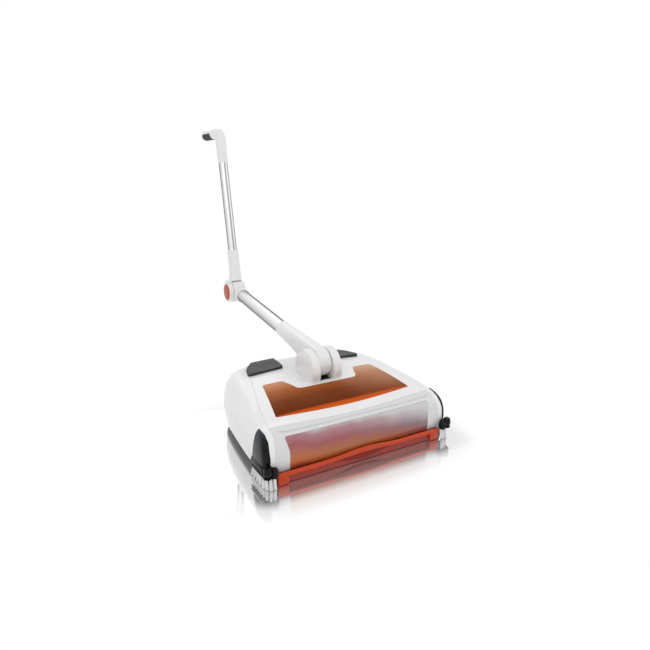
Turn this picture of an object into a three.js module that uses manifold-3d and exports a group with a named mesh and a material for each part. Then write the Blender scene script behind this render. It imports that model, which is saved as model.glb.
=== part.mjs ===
// A cordless floor sweeper: tapered moulded head, bristle roller behind a clear window, lift-out dust box,
// two foot pedals, and a two-part pole with a locking elbow. Millimetres, +Z up, the front faces -Y.
// The head is drawn with Y = 0 at the front corner rollers; the last lines move the origin to the
// middle of the bounding box's base.
import * as THREE from "three";
import { mergeVertices } from "three/addons/utils/BufferGeometryUtils.js";
import Module from "manifold-3d";

const wasm = await Module();
wasm.setup();

// Clearances and drawing values
const gap = 0.3;
const overrun = 2;
const weld = 0.001;
const high = 140;
const wide = 200;
const turn = 2 * Math.PI;
const degree = Math.PI / 180;

// Head: the outer form of the housing
const head = {
  halfWidth: 162,
  depth: 270,
  front: 3,
  bottom: 14,
  belt: 36,
  crest: 96,
  crestY: 182,
  seamTop: 76,
  crown: 5,
  wall: 2.6,
  draft: 2,
};
const wallShares = [
  [0, 0], [0.494, 0], [0.9, 0.001], [0.963, 0.0075], [0.994, 0.028], [1, 0.07], [1, 0.18],
  [0.978, 0.396], [0.932, 0.674], [0.883, 0.818], [0.79, 0.915], [0.63, 0.974], [0.34, 0.996], [0, 1],
];
const shoulderShares = [
  [0, 0.137], [0.444, 0.139], [0.83, 0.144], [0.87, 0.146], [0.895, 0.152], [0.907, 0.174], [0.88, 0.256],
  [0.79, 0.415], [0.74, 0.637], [0.7, 0.75], [0.62, 0.828], [0.48, 0.872], [0.26, 0.89], [0, 0.895],
];
const form = { perKey: 1.5, arcSteps: 5, power: 2.6, capShares: [0.56], capCentreShare: 0.5, crownPower: 4 };

// Seam between the top panel and the front window's frame
const seam = { halfWidth: 142.6, y: 34, bow: 12, steps: 8 };
const panelSideShares = [[0.84, 0.285], [0.772, 0.448], [0.685, 0.641], [0.66, 0.672]];

// Dust window, the tinted lid in the top panel
const lid = { thick: 2.2, below: 0.2, bow: 9, steps: 6 };
const lidFront = { halfWidth: 122.2, y: 53.2 };
const lidBack = { halfWidth: 104.1, y: 145.6 };
const notch = { back: 68.7, front: 58.9, y: 111, corner: 9, steps: 4 };

// Front frame and clear window
const frame = { lowHalf: 149.5, midHalf: 149, midHeight: 42, bottom: 17.5 };
const pane = { topHalf: 131, midHalf: 129, midHeight: 50, lowHalf: 125.5, top: 66, thick: 2 };

// Front lip
const lip = {
  halfWidth: 137, top: 17.2, back: 5.8, front: 3.2, nose: -1.5, mean: 10, wave: 2, halfWave: 88, edge: 1.2,
  underFront: 2.6, rise: 2, blockWidth: 8, blockBottom: 1, blockFront: -1, steps: 16,
};

// Corner guards, bumper rollers and side tufts
const guard = {
  thick: 1.4, inner: 155.5, railTop: 21.5, railBottom: 18.5, railInner: 160.4, railOuter: 165.8, railFront: 8,
  tipY: 40, tipHeight: 75, heelY: 54, pinRadius: 1.6, lobeRadius: 5.6, lobeX: 151.4, lobeY: 1,
};
const leafRearShares = [[0.5, 0.84], [0.8, 0.62], [0.96, 0.35]];
const leafFrontShares = [[0.03, 0.28], [0.08, 0.56], [0.26, 0.74], [0.48, 0.91]];
const roller = { x: 161, y: -1.5, z: 28.4, radius: 6.6, halfHeight: 7.2, sides: 12 };
const tuft = {
  count: 5, rings: [1, 6], spread: 1.9, splay: 3, radius: 0.75, tip: 0.5, backing: 2, tipHeight: 0.4, sides: 3,
  x: 163.2, first: 50, pitch: 9.6,
};

// Brush roller and its drive
const brush = {
  y: 37, z: 28.5, coreRadius: 15, sleeve: 1.6, tipRadius: 27, axleRadius: 3, left: -126, right: 138,
  rows: 4, perRow: 54, twist: 1.25, strandRadius: 0.85, strandTip: 0.55, strandSides: 3, coreSides: 24,
  endMargin: 5,
};
const belt = { left: -138.5, right: -129.5, thick: 1.6, brushRadius: 13, motorRadius: 7, margin: 1, sides: 14 };
const motor = { y: 150, z: 40, radius: 14, left: -124, right: -76, shaftRadius: 1.5, boss: 5, sides: 16, neck: 3 };

// Chassis
const base = {
  plateBottom: 11, plateTop: 14, frontY: 65.5, wallTop: 60, backWall: 2.5, sidePlate: 5, sideInner: 141,
  sideFront: 14, sideTop: 44, innerWall: -128.5, innerThick: 1.5, throatHalf: 98, throatLow: 34, throatHigh: 50,
};
const pedestal = { halfWidth: 29, front: 120, back: 172, top: 40, wall: 3 };
const cradle = { left: -114, right: -84, halfDepth: 17, top: 32 };
const wheel = { x: 118, width: 14, y: 205, radius: 21, hub: 8, axleRadius: 2.5, lug: 3, lugTop: 27, well: 24, groove: 1.5 };
const caster = { x: 44, width: 18, y: 79, radius: 8, stub: 2, lug: 2.5, lugHalf: 4 };
const post = { radius: 4.5, frontX: 120, frontY: 76, rearX: 98, rearY: 174, sides: 10 };
const screw = { headRadius: 3.6, headTop: 13.4, headBottom: 11.4, shaftRadius: 1.5, length: 15, sides: 8 };
const door = { halfWidth: 57, front: 178, back: 228, thick: 2.2, lip: 3 };

// Dust box tray
const tray = { halfWidth: 104, front: 70, back: 107, bottom: 20, wall: 1.8, mouthHalf: 96, mouthLow: 36, mouthHigh: 50 };

// Pedals
const pedal = {
  proud: 4.6, bottom: 84, clear: 0.8, hingeY: 204, hingeZ: 81, barrel: 4, pin: 1.5, rib: 3, ribTop: 83.1, ribX: 65, farRibX: 94,
};
const pedalShares = [[0.259, 0.719], [0.679, 0.685], [0.617, 0.811], [0.475, 0.935], [0.21, 0.952]];
const pedalSpring = { x: 72, y: 240, outer: 5, inner: 3.6, postRadius: 7, postTop: 58, sides: 10 };

// Electrical parts
const cell = { radius: 7.2, length: 50, rows: 3, bottom: 13.6, front: 182, pitch: 14, sides: 12 };
const board = { left: 66, right: 110, front: 128, back: 168, bottom: 24, thick: 1.6, standoff: 3 };
const socket = { x: 60, z: 46, outer: 6, bore: 3.2, depth: 12, flange: 8, flangeThick: 1.6, sides: 12 };
const starter = { x: -90, y: 236, width: 13, depth: 9, low: 62, height: 12, plunger: 2.2, top: 81 };

// Handle bracket and knuckle
const cheek = { y: 145, z: 108, radius: 33, inner: 12.8, outer: 29.5, dome: 0.9, edge: 3.5, sides: 32, steps: 2 };
const saddle = { front: 118, back: 172, bottom: 76, top: 88.5, neckHalf: 26, neckFront: 124, neckBack: 168 };
const liner = { halfWidth: 12.2, front: 121, back: 171, top: 91.4 };
const pivot = { y: 145, z: 117, radius: 5, end: 27 };
const poleTilt = 6.8 * degree;
const pole = { elbow: 381, axis: 7, sleeveEnd: 142, tubeStart: 116, tubeRadius: 13, tubeWall: 1.1, sides: 20 };
const knuckle = { radius: 25, half: 12.2, sleeve: 14.6, boxy: 8, round: 2, arcSteps: 3, sides: 20 };
// Along the sleeve, and how far its height, width and centre line have come from the drum's to the tube's
const taperShares = [
  [0.1, 0.06, 0, 0.14], [0.25, 0.33, 0, 0.46], [0.41, 0.61, 0.5, 0.77], [0.59, 0.83, 1, 0.96],
  [0.79, 0.95, 1.15, 1], [1, 1, 1, 1],
];

// Elbow
const elbow = { radius: 23.5, half: 14, edge: 3, neckStart: 343, neckRadius: 15.6, boreEnd: 361, pinRadius: 4, pinSides: 12, sides: 26 };
const bend = 72.5 * degree;
const fork = {
  plateOuter: -24, plateInner: -14.4, plateRadius: 22.4, floor: -18, recess: 18.9, edge: 2,
  low: 24.6, lowHalfZ: 13.4, sleeve: 12.4, boxy: 3, round: 2, sides: 20,
};
const forkShares = [[0, 0], [0.14, 0.12], [0.32, 0.55], [0.52, 1], [1, 1]];
const upper = { sleeveEnd: 92, boreStart: 42, tubeEnd: 306, tubeRadius: 9.5, tubeWall: 1, sides: 16 };
const lock = { outer: -27, inner: -21, radius: 18.5, dome: 1.2, edge: 1.2, springOuter: 9, springInner: 7 };

// Grip
const grip = {
  start: 281, corner: 347, radius: 24, turn: 79.3 * degree, reach: 104, arcSteps: 4, sides: 14,
  lowX: 10.6, lowZ: 10.6, midX: 11, midZ: 11.4, topX: 10.4, topZ: 12.2, cap: 9, capSteps: 2,
};
const pad = { proud: 0.9, deep: 2.6, front: 36, back: 102, topShare: 0.32 };

const colours = {
  white: { color: 0xe5e0dc, roughness: 0.35, metalness: 0 },
  charcoal: { color: 0x3b3b3f, roughness: 0.5, metalness: 0 },
  black: { color: 0x17171a, roughness: 0.35, metalness: 0 },
  amber: { color: 0xb4521c, roughness: 0.15, metalness: 0, transparent: true, opacity: 0.7 },
  clear: { color: 0xd9dbe0, roughness: 0.08, metalness: 0, transparent: true, opacity: 0.35 },
  orange: { color: 0xd9531e, roughness: 0.35, metalness: 0 },
  silver: { color: 0xb9bbbf, roughness: 0.3, metalness: 1 },
  steel: { color: 0x9a9ca0, roughness: 0.35, metalness: 1 },
  bristle: { color: 0xf0f0ee, roughness: 0.6, metalness: 0 },
  brushOrange: { color: 0xe0701f, roughness: 0.6, metalness: 0 },
  soft: { color: 0x2e2e31, roughness: 0.7, metalness: 0 },
  grey: { color: 0x8d8d90, roughness: 0.5, metalness: 0 },
  rubber: { color: 0x232325, roughness: 0.8, metalness: 0 },
  green: { color: 0x2f6b45, roughness: 0.5, metalness: 0 },
  wrap: { color: 0x3d5a86, roughness: 0.4, metalness: 0 },
};
const materials = {};
for (const [name, values] of Object.entries(colours)) {
  materials[name] = new THREE.MeshStandardMaterial(values);
}

// Solids from geometry

function manifoldOf(positions, triangles) {
  return new wasm.Manifold(new wasm.Mesh({ numProp: 3, vertProperties: positions, triVerts: triangles }));
}

function solidOf(geometry) {
  const bare = new THREE.BufferGeometry();
  const source = geometry.index ? geometry.toNonIndexed() : geometry;
  bare.setAttribute("position", source.getAttribute("position"));
  const merged = mergeVertices(bare, weld);
  const positions = merged.attributes.position.array;
  const triangles = new Uint32Array(merged.index.array);
  const made = manifoldOf(positions, triangles);
  if (made.volume() > 0) return made;
  return manifoldOf(positions, triangles.reverse());
}

function geometryOf(solid) {
  const mesh = solid.getMesh();
  const geometry = new THREE.BufferGeometry();
  geometry.setAttribute("position", new THREE.BufferAttribute(mesh.vertProperties, 3));
  geometry.setIndex(new THREE.BufferAttribute(mesh.triVerts, 1));
  geometry.computeVertexNormals();
  return geometry;
}

function joined(...solids) {
  return solids.reduce((all, next) => all.add(next));
}

function cut(solid, ...cutters) {
  return cutters.reduce((left, next) => left.subtract(next), solid);
}

function mirrored(solid) {
  return solidOf(geometryOf(solid).scale(-1, 1, 1));
}

// A closed skin over rings of equally many points, each end closed by a fan.
function loft(rings) {
  const count = rings[0].length;
  const points = rings.flat();
  const faces = [];
  for (let r = 0; r + 1 < rings.length; r += 1) {
    for (let i = 0; i < count; i += 1) {
      const a = r * count + i;
      const b = r * count + ((i + 1) % count);
      faces.push(a, b, a + count, b, b + count, a + count);
    }
  }
  for (const r of [0, rings.length - 1]) {
    if (count === 3) {
      const first = r * count;
      if (r === 0) faces.push(first, first + 2, first + 1);
      else faces.push(first, first + 1, first + 2);
      continue;
    }
    const middle = new THREE.Vector3();
    rings[r].forEach((p) => middle.addScaledVector(p, 1 / count));
    points.push(middle);
    const hub = points.length - 1;
    for (let i = 0; i < count; i += 1) {
      const a = r * count + i;
      const b = r * count + ((i + 1) % count);
      if (r === 0) faces.push(b, a, hub);
      else faces.push(a, b, hub);
    }
  }
  const geometry = new THREE.BufferGeometry().setFromPoints(points);
  geometry.setIndex(faces);
  return solidOf(geometry);
}

function extruded(outline, depth) {
  const shape = new THREE.Shape(outline.map(([u, v]) => new THREE.Vector2(u, v)));
  return new THREE.ExtrudeGeometry(shape, { depth, bevelEnabled: false });
}

// Prisms: the outline is [x, y], [y, z] or [x, z] and runs between two places on the third axis.
function prismZ(outline, low, top) {
  return solidOf(extruded(outline, top - low).translate(0, 0, low));
}

function prismX(outline, low, top) {
  const toX = new THREE.Matrix4().makeBasis(
    new THREE.Vector3(0, 1, 0),
    new THREE.Vector3(0, 0, 1),
    new THREE.Vector3(1, 0, 0),
  );
  return solidOf(extruded(outline, top - low).applyMatrix4(toX).translate(low, 0, 0));
}

function prismY(outline, low, top) {
  return solidOf(extruded(outline, top - low).rotateX(Math.PI / 2).translate(0, top, 0));
}

function block(x0, x1, y0, y1, z0, z1) {
  const box = new THREE.BoxGeometry(x1 - x0, y1 - y0, z1 - z0);
  return solidOf(box.translate((x0 + x1) / 2, (y0 + y1) / 2, (z0 + z1) / 2));
}

// A turned solid about an axis parallel to X, Y or Z; the profile is [along, radius].
function turned(axis, profile, sides, x, y, z) {
  const points = profile.map(([along, radius]) => new THREE.Vector2(radius, along));
  const lathe = new THREE.LatheGeometry(points, sides);
  if (axis === "x") lathe.rotateZ(-Math.PI / 2);
  if (axis === "z") lathe.rotateX(Math.PI / 2);
  return solidOf(lathe.translate(x, y, z));
}

function rod(axis, radius, low, top, sides, x, y, z) {
  return turned(axis, [[low, 0], [low, radius], [top, radius], [top, 0]], sides, x, y, z);
}

// An edge-rounded disc about an axis parallel to X.
function puck(low, top, radius, edge, sides, y, z) {
  const profile = [[low, 0], [low, radius - edge], [low + edge, radius]];
  profile.push([top - edge, radius], [top, radius - edge], [top, 0]);
  return turned("x", profile, sides, 0, y, z);
}

// Sections across the local Y axis, from a superellipse.
function sectionRing({ x = 0, y, z = 0, halfX, halfZ, power }, sides) {
  const ring = [];
  for (let i = 0; i < sides; i += 1) {
    const angle = (i / sides) * turn;
    const c = Math.cos(angle);
    const s = Math.sin(angle);
    const reachX = halfX * Math.sign(c) * Math.abs(c) ** (2 / power);
    const reachZ = halfZ * Math.sign(s) * Math.abs(s) ** (2 / power);
    ring.push(new THREE.Vector3(x + reachX, y, z + reachZ));
  }
  return ring;
}

// The head's outer form

function topHeight(x, y) {
  const along = (y - head.crestY) / (seam.y - head.crestY);
  const across = Math.abs(x) / head.halfWidth;
  return head.crest - (head.crest - head.seamTop) * along ** 2 - head.crown * across ** form.crownPower;
}

function planPoint([x, y]) {
  return new THREE.Vector2(x * head.halfWidth, head.front + y * head.depth);
}

function planLoop(shares) {
  const steps = Math.ceil((shares.length - 1) * form.perKey);
  const half = new THREE.SplineCurve(shares.map(planPoint)).getPoints(steps);
  const others = half.slice(1, -1).reverse();
  return [...half, ...others.map((p) => new THREE.Vector2(-p.x, p.y))];
}

function insetLoop(loop, inset) {
  return loop.map((p, i) => {
    const before = loop[(i + loop.length - 1) % loop.length];
    const after = loop[(i + 1) % loop.length];
    const along = after.clone().sub(before).normalize();
    return new THREE.Vector2(p.x - along.y * inset, p.y + along.x * inset);
  });
}

const wallLoop = planLoop(wallShares);
const shoulderLoop = planLoop(shoulderShares);

// The head's form, inset all over by some thickness (outset where that is negative).
function headForm(inset, bottom) {
  const wall = insetLoop(wallLoop, inset);
  const lean = (head.draft * (head.belt - bottom)) / (head.belt - head.bottom);
  const rings = [insetLoop(wallLoop, inset + lean).map((p) => new THREE.Vector3(p.x, p.y, bottom))];
  rings.push(wall.map((p) => new THREE.Vector3(p.x, p.y, head.belt)));
  for (let k = 1; k <= form.arcSteps; k += 1) {
    const angle = (k / form.arcSteps) * (Math.PI / 2);
    const share = 1 - Math.cos(angle) ** (2 / form.power);
    const rise = Math.sin(angle) ** (2 / form.power);
    rings.push(
      wall.map((p, i) => {
        const s = shoulderLoop[i];
        const top = topHeight(s.x, s.y) - inset;
        return new THREE.Vector3(
          p.x + (s.x - p.x) * share,
          p.y + (s.y - p.y) * share,
          head.belt + (top - head.belt) * rise,
        );
      }),
    );
  }
  const centreY = head.front + head.depth * form.capCentreShare;
  for (const share of form.capShares) {
    rings.push(
      shoulderLoop.map((s) => {
        const x = s.x * share;
        const y = centreY + (s.y - centreY) * share;
        return new THREE.Vector3(x, y, topHeight(x, y) - inset);
      }),
    );
  }
  return loft(rings);
}

const outerForm = headForm(0, head.bottom);
const innerForm = headForm(head.wall, head.bottom - overrun);
const shell = outerForm.subtract(innerForm);

function seamY(x) {
  return seam.y - seam.bow * (1 - (x / seam.halfWidth) ** 2);
}

function seamLine(shift) {
  const points = [];
  for (let i = 0; i <= seam.steps; i += 1) {
    const x = seam.halfWidth * ((2 * i) / seam.steps - 1);
    points.push([x, seamY(x) + shift]);
  }
  return points;
}

// Plan of the top panel, drawn in by the clearance it keeps.
function panelPlan(inset) {
  const side = panelSideShares.map(planPoint);
  const right = side.map((p, i) => [p.x - inset, i === side.length - 1 ? p.y - inset : p.y]);
  const left = [...right].reverse().map(([x, y]) => [-x, y]);
  const front = seamLine(inset).map(([x, y]) => [x - Math.sign(x) * inset, y]);
  return [...front, ...right, ...left];
}

// Everything ahead of the seam that the window's frame fills.
function frontSpace(inset) {
  const across = frame.lowHalf - inset;
  const middle = frame.midHalf - inset;
  const top = seam.halfWidth - inset;
  const face = [[-across, 0], [across, 0], [middle, frame.midHeight], [top, head.seamTop]];
  face.push([top, high], [-top, high], [-top, head.seamTop], [-middle, frame.midHeight]);
  const plan = [[-wide, -wide], [wide, -wide], [wide, seam.y - inset]];
  const line = seamLine(-inset).reverse();
  plan.push(...line, [-wide, seam.y - inset]);
  return prismZ(plan, 0, high).intersect(prismY(face, -wide, wide));
}

// Plan of the dust window, a trapezoid with a notch round the handle's bracket.
function lidPlan(inset) {
  const points = [];
  for (let i = 0; i <= lid.steps; i += 1) {
    const across = (2 * i) / lid.steps - 1;
    const x = across * (lidFront.halfWidth - inset);
    points.push([x, lidFront.y - lid.bow * (1 - across ** 2) + inset]);
  }
  const right = [[lidBack.halfWidth - inset, lidBack.y - inset], [notch.back + inset, lidBack.y - inset]];
  for (let i = 0; i <= notch.steps; i += 1) {
    const angle = (i / notch.steps) * (Math.PI / 2);
    const x = notch.front + inset - notch.corner * (1 - Math.cos(angle));
    right.push([x, notch.y - inset + notch.corner * (1 - Math.sin(angle))]);
  }
  const left = [...right].reverse().map(([x, y]) => [-x, y]);
  return [...points, ...right, ...left];
}

function pedalPlan(outset) {
  const corners = pedalShares.map(planPoint);
  const middle = new THREE.Vector2();
  corners.forEach((p) => middle.addScaledVector(p, 1 / corners.length));
  return corners.map((p) => {
    const away = p.clone().sub(middle);
    const moved = p.clone().addScaledVector(away.normalize(), outset);
    return [moved.x, moved.y];
  });
}

const model = new THREE.Group();

function addTo(group, name, solid, material) {
  const mesh = new THREE.Mesh(geometryOf(solid), materials[material]);
  mesh.name = name;
  group.add(mesh);
}

function add(name, solid, material) {
  addTo(model, name, solid, material);
}

function addPair(name, solid, material) {
  add(name + "_right", solid, material);
  add(name + "_left", mirrored(solid), material);
}

// Housing, top panel and the lid in it

function bracketSpace() {
  const side = cheek.outer + cheek.dome + gap;
  const cheeks = rod("x", cheek.radius + gap, -side, side, cheek.sides, 0, cheek.y, cheek.z);
  const bed = block(-side, side, saddle.front - gap, saddle.back + gap, saddle.bottom, saddle.top + gap);
  return joined(cheeks, bed);
}

function housing() {
  const panelSpace = prismZ(panelPlan(0), head.belt, high);
  const seamStrip = prismZ([...seamLine(-overrun), ...seamLine(gap).reverse()], head.belt, high);
  const pedalSpace = prismZ(pedalPlan(pedal.clear), head.belt, high);
  const opened = cut(shell, frontSpace(0), panelSpace, seamStrip, pedalSpace, mirrored(pedalSpace));
  const inletStart = head.front + head.depth / 2;
  const inlet = rod("y", socket.outer + gap, inletStart, high * 2, socket.sides, socket.x, 0, socket.z);
  return cut(opened, inlet);
}

function cornerPosts() {
  const places = [[post.frontX, post.frontY], [post.rearX, post.rearY]];
  const posts = places.map(([x, y]) => {
    const low = base.plateTop + gap;
    const column = rod("z", post.radius, low, head.crest, post.sides, x, y, 0);
    const bore = rod("z", screw.shaftRadius + gap, low - overrun, low + screw.length, screw.sides, x, y, 0);
    return column.intersect(headForm(head.wall / 2, 0)).subtract(bore);
  });
  return joined(...posts);
}

function topPanel() {
  const panel = shell.intersect(prismZ(panelPlan(gap), head.belt, high));
  const posts = cornerPosts();
  const opening = prismZ(lidPlan(0), head.belt, high);
  return cut(joined(panel, posts, mirrored(posts)), opening, bracketSpace());
}

function dustWindow() {
  const skin = headForm(lid.below, head.bottom).subtract(headForm(lid.below + lid.thick, 0));
  return skin.intersect(prismZ(lidPlan(gap), head.belt, high));
}

function dustTray() {
  const under = headForm(lid.below + lid.thick + gap, 0);
  const outer = block(-tray.halfWidth, tray.halfWidth, tray.front, tray.back, tray.bottom, high);
  const across = tray.halfWidth - tray.wall;
  const front = tray.front + tray.wall;
  const hollow = block(-across, across, front, tray.back - tray.wall, tray.bottom + tray.wall, high);
  const mouthBack = tray.front + tray.wall + overrun;
  const mouth = block(
    -tray.mouthHalf, tray.mouthHalf, tray.front - overrun, mouthBack, tray.mouthLow, tray.mouthHigh,
  );
  return cut(outer.intersect(under), hollow, mouth);
}

// Window frame, clear window and lip

function paneFace(inset) {
  const face = [[-pane.lowHalf, frame.bottom - overrun], [pane.lowHalf, frame.bottom - overrun]];
  face.push([pane.lowHalf, frame.bottom], [pane.midHalf, pane.midHeight], [pane.topHalf, pane.top]);
  face.push([-pane.topHalf, pane.top], [-pane.midHalf, pane.midHeight], [-pane.lowHalf, frame.bottom]);
  return face.map(([x, z]) => [x - Math.sign(x) * inset, z > pane.midHeight ? z - inset : z]);
}

function windowFrame() {
  const above = block(-wide, wide, -wide, seam.y + head.wall, frame.bottom, high);
  const ring = shell.intersect(frontSpace(gap)).intersect(above);
  return ring.subtract(prismY(paneFace(0), -wide, seam.y));
}

function frontWindow() {
  const skin = outerForm.subtract(headForm(pane.thick, 0));
  const above = block(-wide, wide, -wide, seam.y, frame.bottom, high);
  return skin.intersect(prismY(paneFace(gap), -wide, seam.y)).intersect(above);
}

function lipEdge(x) {
  return lip.mean + lip.wave * Math.cos((Math.PI * x) / lip.halfWave);
}

function frontLip() {
  const rings = [];
  for (let i = 0; i <= lip.steps; i += 1) {
    const x = lip.halfWidth * ((2 * i) / lip.steps - 1);
    const z = lipEdge(x);
    const outline = [[lip.back, lip.top], [lip.front, lip.top], [lip.nose, z + lip.edge]];
    outline.push([lip.nose, z - lip.edge], [lip.underFront, z], [lip.back, z + lip.rise]);
    rings.push(outline.map(([y, height]) => new THREE.Vector3(x, y, height)));
  }
  const inner = lip.halfWidth - lip.blockWidth;
  const end = block(inner, lip.halfWidth, lip.blockFront, lip.back, lip.blockBottom, lip.top);
  return joined(loft(rings), end, mirrored(end));
}

// Corner guard, roller and tufts at the right front corner

function leafOutline() {
  const length = guard.heelY - head.front;
  const rise = guard.tipHeight - guard.railTop;
  const points = [[0, guard.railBottom], [guard.heelY, guard.railBottom]];
  const rear = [...leafRearShares].reverse();
  points.push(...rear.map(([u, v]) => [guard.tipY + (guard.heelY - guard.tipY) * u, guard.railTop + rise * v]));
  points.push([guard.tipY, guard.tipHeight]);
  const front = [...leafFrontShares].reverse();
  points.push(...front.map(([u, v]) => [length * u, guard.railTop + rise * v]));
  return points;
}

function cornerGuard() {
  const skin = headForm(-gap - guard.thick, 0).subtract(headForm(-gap, -overrun));
  const leaf = skin.intersect(prismX(leafOutline(), guard.inner, wide));
  const railBack = guard.heelY;
  const rail = block(guard.railInner, guard.railOuter, guard.railFront, railBack, guard.railBottom, guard.railTop);
  const clearWall = headForm(-gap, 0);
  const tabTop = roller.z - roller.halfHeight - gap;
  const tab = turned(
    "z",
    [[guard.railBottom, 0], [guard.railBottom, roller.radius - gap], [tabTop, roller.radius - gap], [tabTop, 0]],
    roller.sides, roller.x, roller.y, 0,
  );
  const bridge = block(
    guard.railInner, guard.railOuter, roller.y, guard.railFront + overrun, guard.railBottom, guard.railTop,
  );
  const pinTop = roller.z + roller.halfHeight + gap;
  const pin = rod("z", guard.pinRadius, guard.railBottom, pinTop, screw.sides, roller.x, roller.y, 0);
  const lobeLow = guard.railBottom;
  const lobeHigh = roller.z + guard.lobeRadius;
  const lobeProfile = [[lobeLow, 0], [lobeLow, guard.lobeRadius], [roller.z, guard.lobeRadius]];
  lobeProfile.push([roller.z + guard.lobeRadius * 0.7, guard.lobeRadius * 0.7], [lobeHigh, 0]);
  const lobe = turned("z", lobeProfile, roller.sides, guard.lobeX, guard.lobeY - guard.lobeRadius, 0);
  const keepOff = rod(
    "z", roller.radius + gap, tabTop + gap / 2, pinTop + gap, roller.sides, roller.x, roller.y, 0,
  );
  return joined(cut(joined(rail, tab, bridge, lobe), clearWall, keepOff), cut(leaf, keepOff), pin);
}

function bumperRoller() {
  const low = roller.z - roller.halfHeight;
  const top = roller.z + roller.halfHeight;
  const bore = guard.pinRadius + gap;
  const shoulder = roller.radius * 0.8;
  const bulge = roller.halfHeight * 0.55;
  const profile = [[low, bore], [low, shoulder], [roller.z - bulge, roller.radius], [roller.z + bulge, roller.radius]];
  profile.push([top, shoulder], [top, bore], [low, bore]);
  return turned("z", profile, roller.sides, roller.x, roller.y, 0);
}

// A slim tapered strand from one point to another, as one ring at its root and one at its tip.
function strand(root, tip, rootRadius, tipRadius, sides) {
  const along = tip.clone().sub(root).normalize();
  const helper = Math.abs(along.z) > Math.abs(along.x) ? new THREE.Vector3(1, 0, 0) : new THREE.Vector3(0, 0, 1);
  const u = new THREE.Vector3().crossVectors(along, helper).normalize();
  const v = new THREE.Vector3().crossVectors(along, u);
  const rings = [[root, rootRadius], [tip, tipRadius]].map(([centre, radius]) => {
    const ring = [];
    for (let i = 0; i < sides; i += 1) {
      const angle = (i / sides) * turn;
      const point = centre.clone().addScaledVector(u, radius * Math.cos(angle));
      ring.push(point.addScaledVector(v, radius * Math.sin(angle)));
    }
    return ring;
  });
  return loft(rings);
}

// Side tufts: clumps under the guard's rail, each one strand in the middle and a ring of others.
function sideTufts() {
  const top = guard.railBottom - gap;
  const low = top - tuft.backing;
  const places = [];
  for (let i = 0; i < tuft.count; i += 1) {
    places.push([tuft.x, tuft.first - i * tuft.pitch]);
  }
  places.push([guard.lobeX, guard.lobeY - guard.lobeRadius]);
  const strands = [];
  for (const [x, y] of places) {
    tuft.rings.forEach((count, ring) => {
      for (let i = 0; i < count; i += 1) {
        const angle = (i / count) * turn;
        const reach = ring * tuft.spread;
        const foot = ring * tuft.splay;
        const root = new THREE.Vector3(x + reach * Math.cos(angle), y + reach * Math.sin(angle), low + tuft.backing / 2);
        const tip = new THREE.Vector3(x + foot * Math.cos(angle), y + foot * Math.sin(angle), tuft.tipHeight);
        strands.push(strand(root, tip, tuft.radius, tuft.tip, tuft.sides));
      }
    });
  }
  const slice = block(guard.railInner, guard.railOuter, roller.y, guard.heelY, low, top);
  const round = rod("z", roller.radius - gap, low, top, roller.sides, roller.x, roller.y, 0);
  const lobe = rod("z", guard.lobeRadius, low, top, roller.sides, guard.lobeX, guard.lobeY - guard.lobeRadius, 0);
  const backing = joined(slice, round, lobe).subtract(headForm(-gap, 0));
  return joined(backing, ...strands);
}

// Brush roller and drive

function brushCore() {
  const bore = brush.axleRadius + gap;
  const profile = [[brush.left, bore], [brush.left, brush.coreRadius], [brush.right, brush.coreRadius]];
  profile.push([brush.right, bore], [brush.left, bore]);
  return turned("x", profile, brush.coreSides, 0, brush.y, brush.z);
}

// Helical rows of bristles on a sleeve round the core.
function brushBristles() {
  const inner = brush.coreRadius + gap;
  const outer = inner + brush.sleeve;
  const left = brush.left + brush.endMargin / 2;
  const right = brush.right - brush.endMargin / 2;
  const profile = [[left, inner], [left, outer], [right, outer], [right, inner], [left, inner]];
  const sleeve = turned("x", profile, brush.coreSides, 0, brush.y, brush.z);
  const strands = [];
  for (let row = 0; row < brush.rows; row += 1) {
    for (let i = 0; i < brush.perRow; i += 1) {
      const share = i / (brush.perRow - 1);
      const x = left + brush.endMargin + (right - left - 2 * brush.endMargin) * share;
      const angle = turn * (row / brush.rows + brush.twist * share);
      const out = new THREE.Vector3(0, Math.cos(angle), Math.sin(angle));
      const centre = new THREE.Vector3(x, brush.y, brush.z);
      const root = centre.clone().addScaledVector(out, outer - brush.sleeve / 2);
      const tip = centre.clone().addScaledVector(out, brush.tipRadius);
      strands.push(strand(root, tip, brush.strandRadius, brush.strandTip, brush.strandSides));
    }
  }
  return joined(sleeve, ...strands);
}

function brushAxle() {
  const end = base.sideInner + base.sidePlate - gap;
  return rod("x", brush.axleRadius, -end, end, screw.sides, 0, brush.y, brush.z);
}

function pulley(radius, bore, y, z) {
  const rim = radius + belt.thick + gap;
  const profile = [[belt.left, bore], [belt.left, rim], [belt.left + belt.margin, rim], [belt.left + belt.margin, radius]];
  profile.push([belt.right - belt.margin, radius], [belt.right - belt.margin, rim], [belt.right, rim]);
  profile.push([belt.right, bore], [belt.left, bore]);
  return turned("x", profile, belt.sides, 0, y, z);
}

// Outline of a loop round the two pulleys, outside their rims by some distance.
function beltLoop(outside) {
  const across = motor.y - brush.y;
  const up = motor.z - brush.z;
  const distance = Math.hypot(across, up);
  const heading = Math.atan2(up, across);
  const lean = Math.acos((belt.brushRadius - belt.motorRadius) / distance);
  const points = [];
  const ends = [
    { y: brush.y, z: brush.z, radius: belt.brushRadius + outside, from: heading + lean, sweep: turn - 2 * lean },
    { y: motor.y, z: motor.z, radius: belt.motorRadius + outside, from: heading - lean, sweep: 2 * lean },
  ];
  for (const end of ends) {
    for (let i = 0; i <= belt.sides; i += 1) {
      const angle = end.from + (end.sweep * i) / belt.sides;
      points.push([end.y + end.radius * Math.cos(angle), end.z + end.radius * Math.sin(angle)]);
    }
  }
  return points;
}

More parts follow.
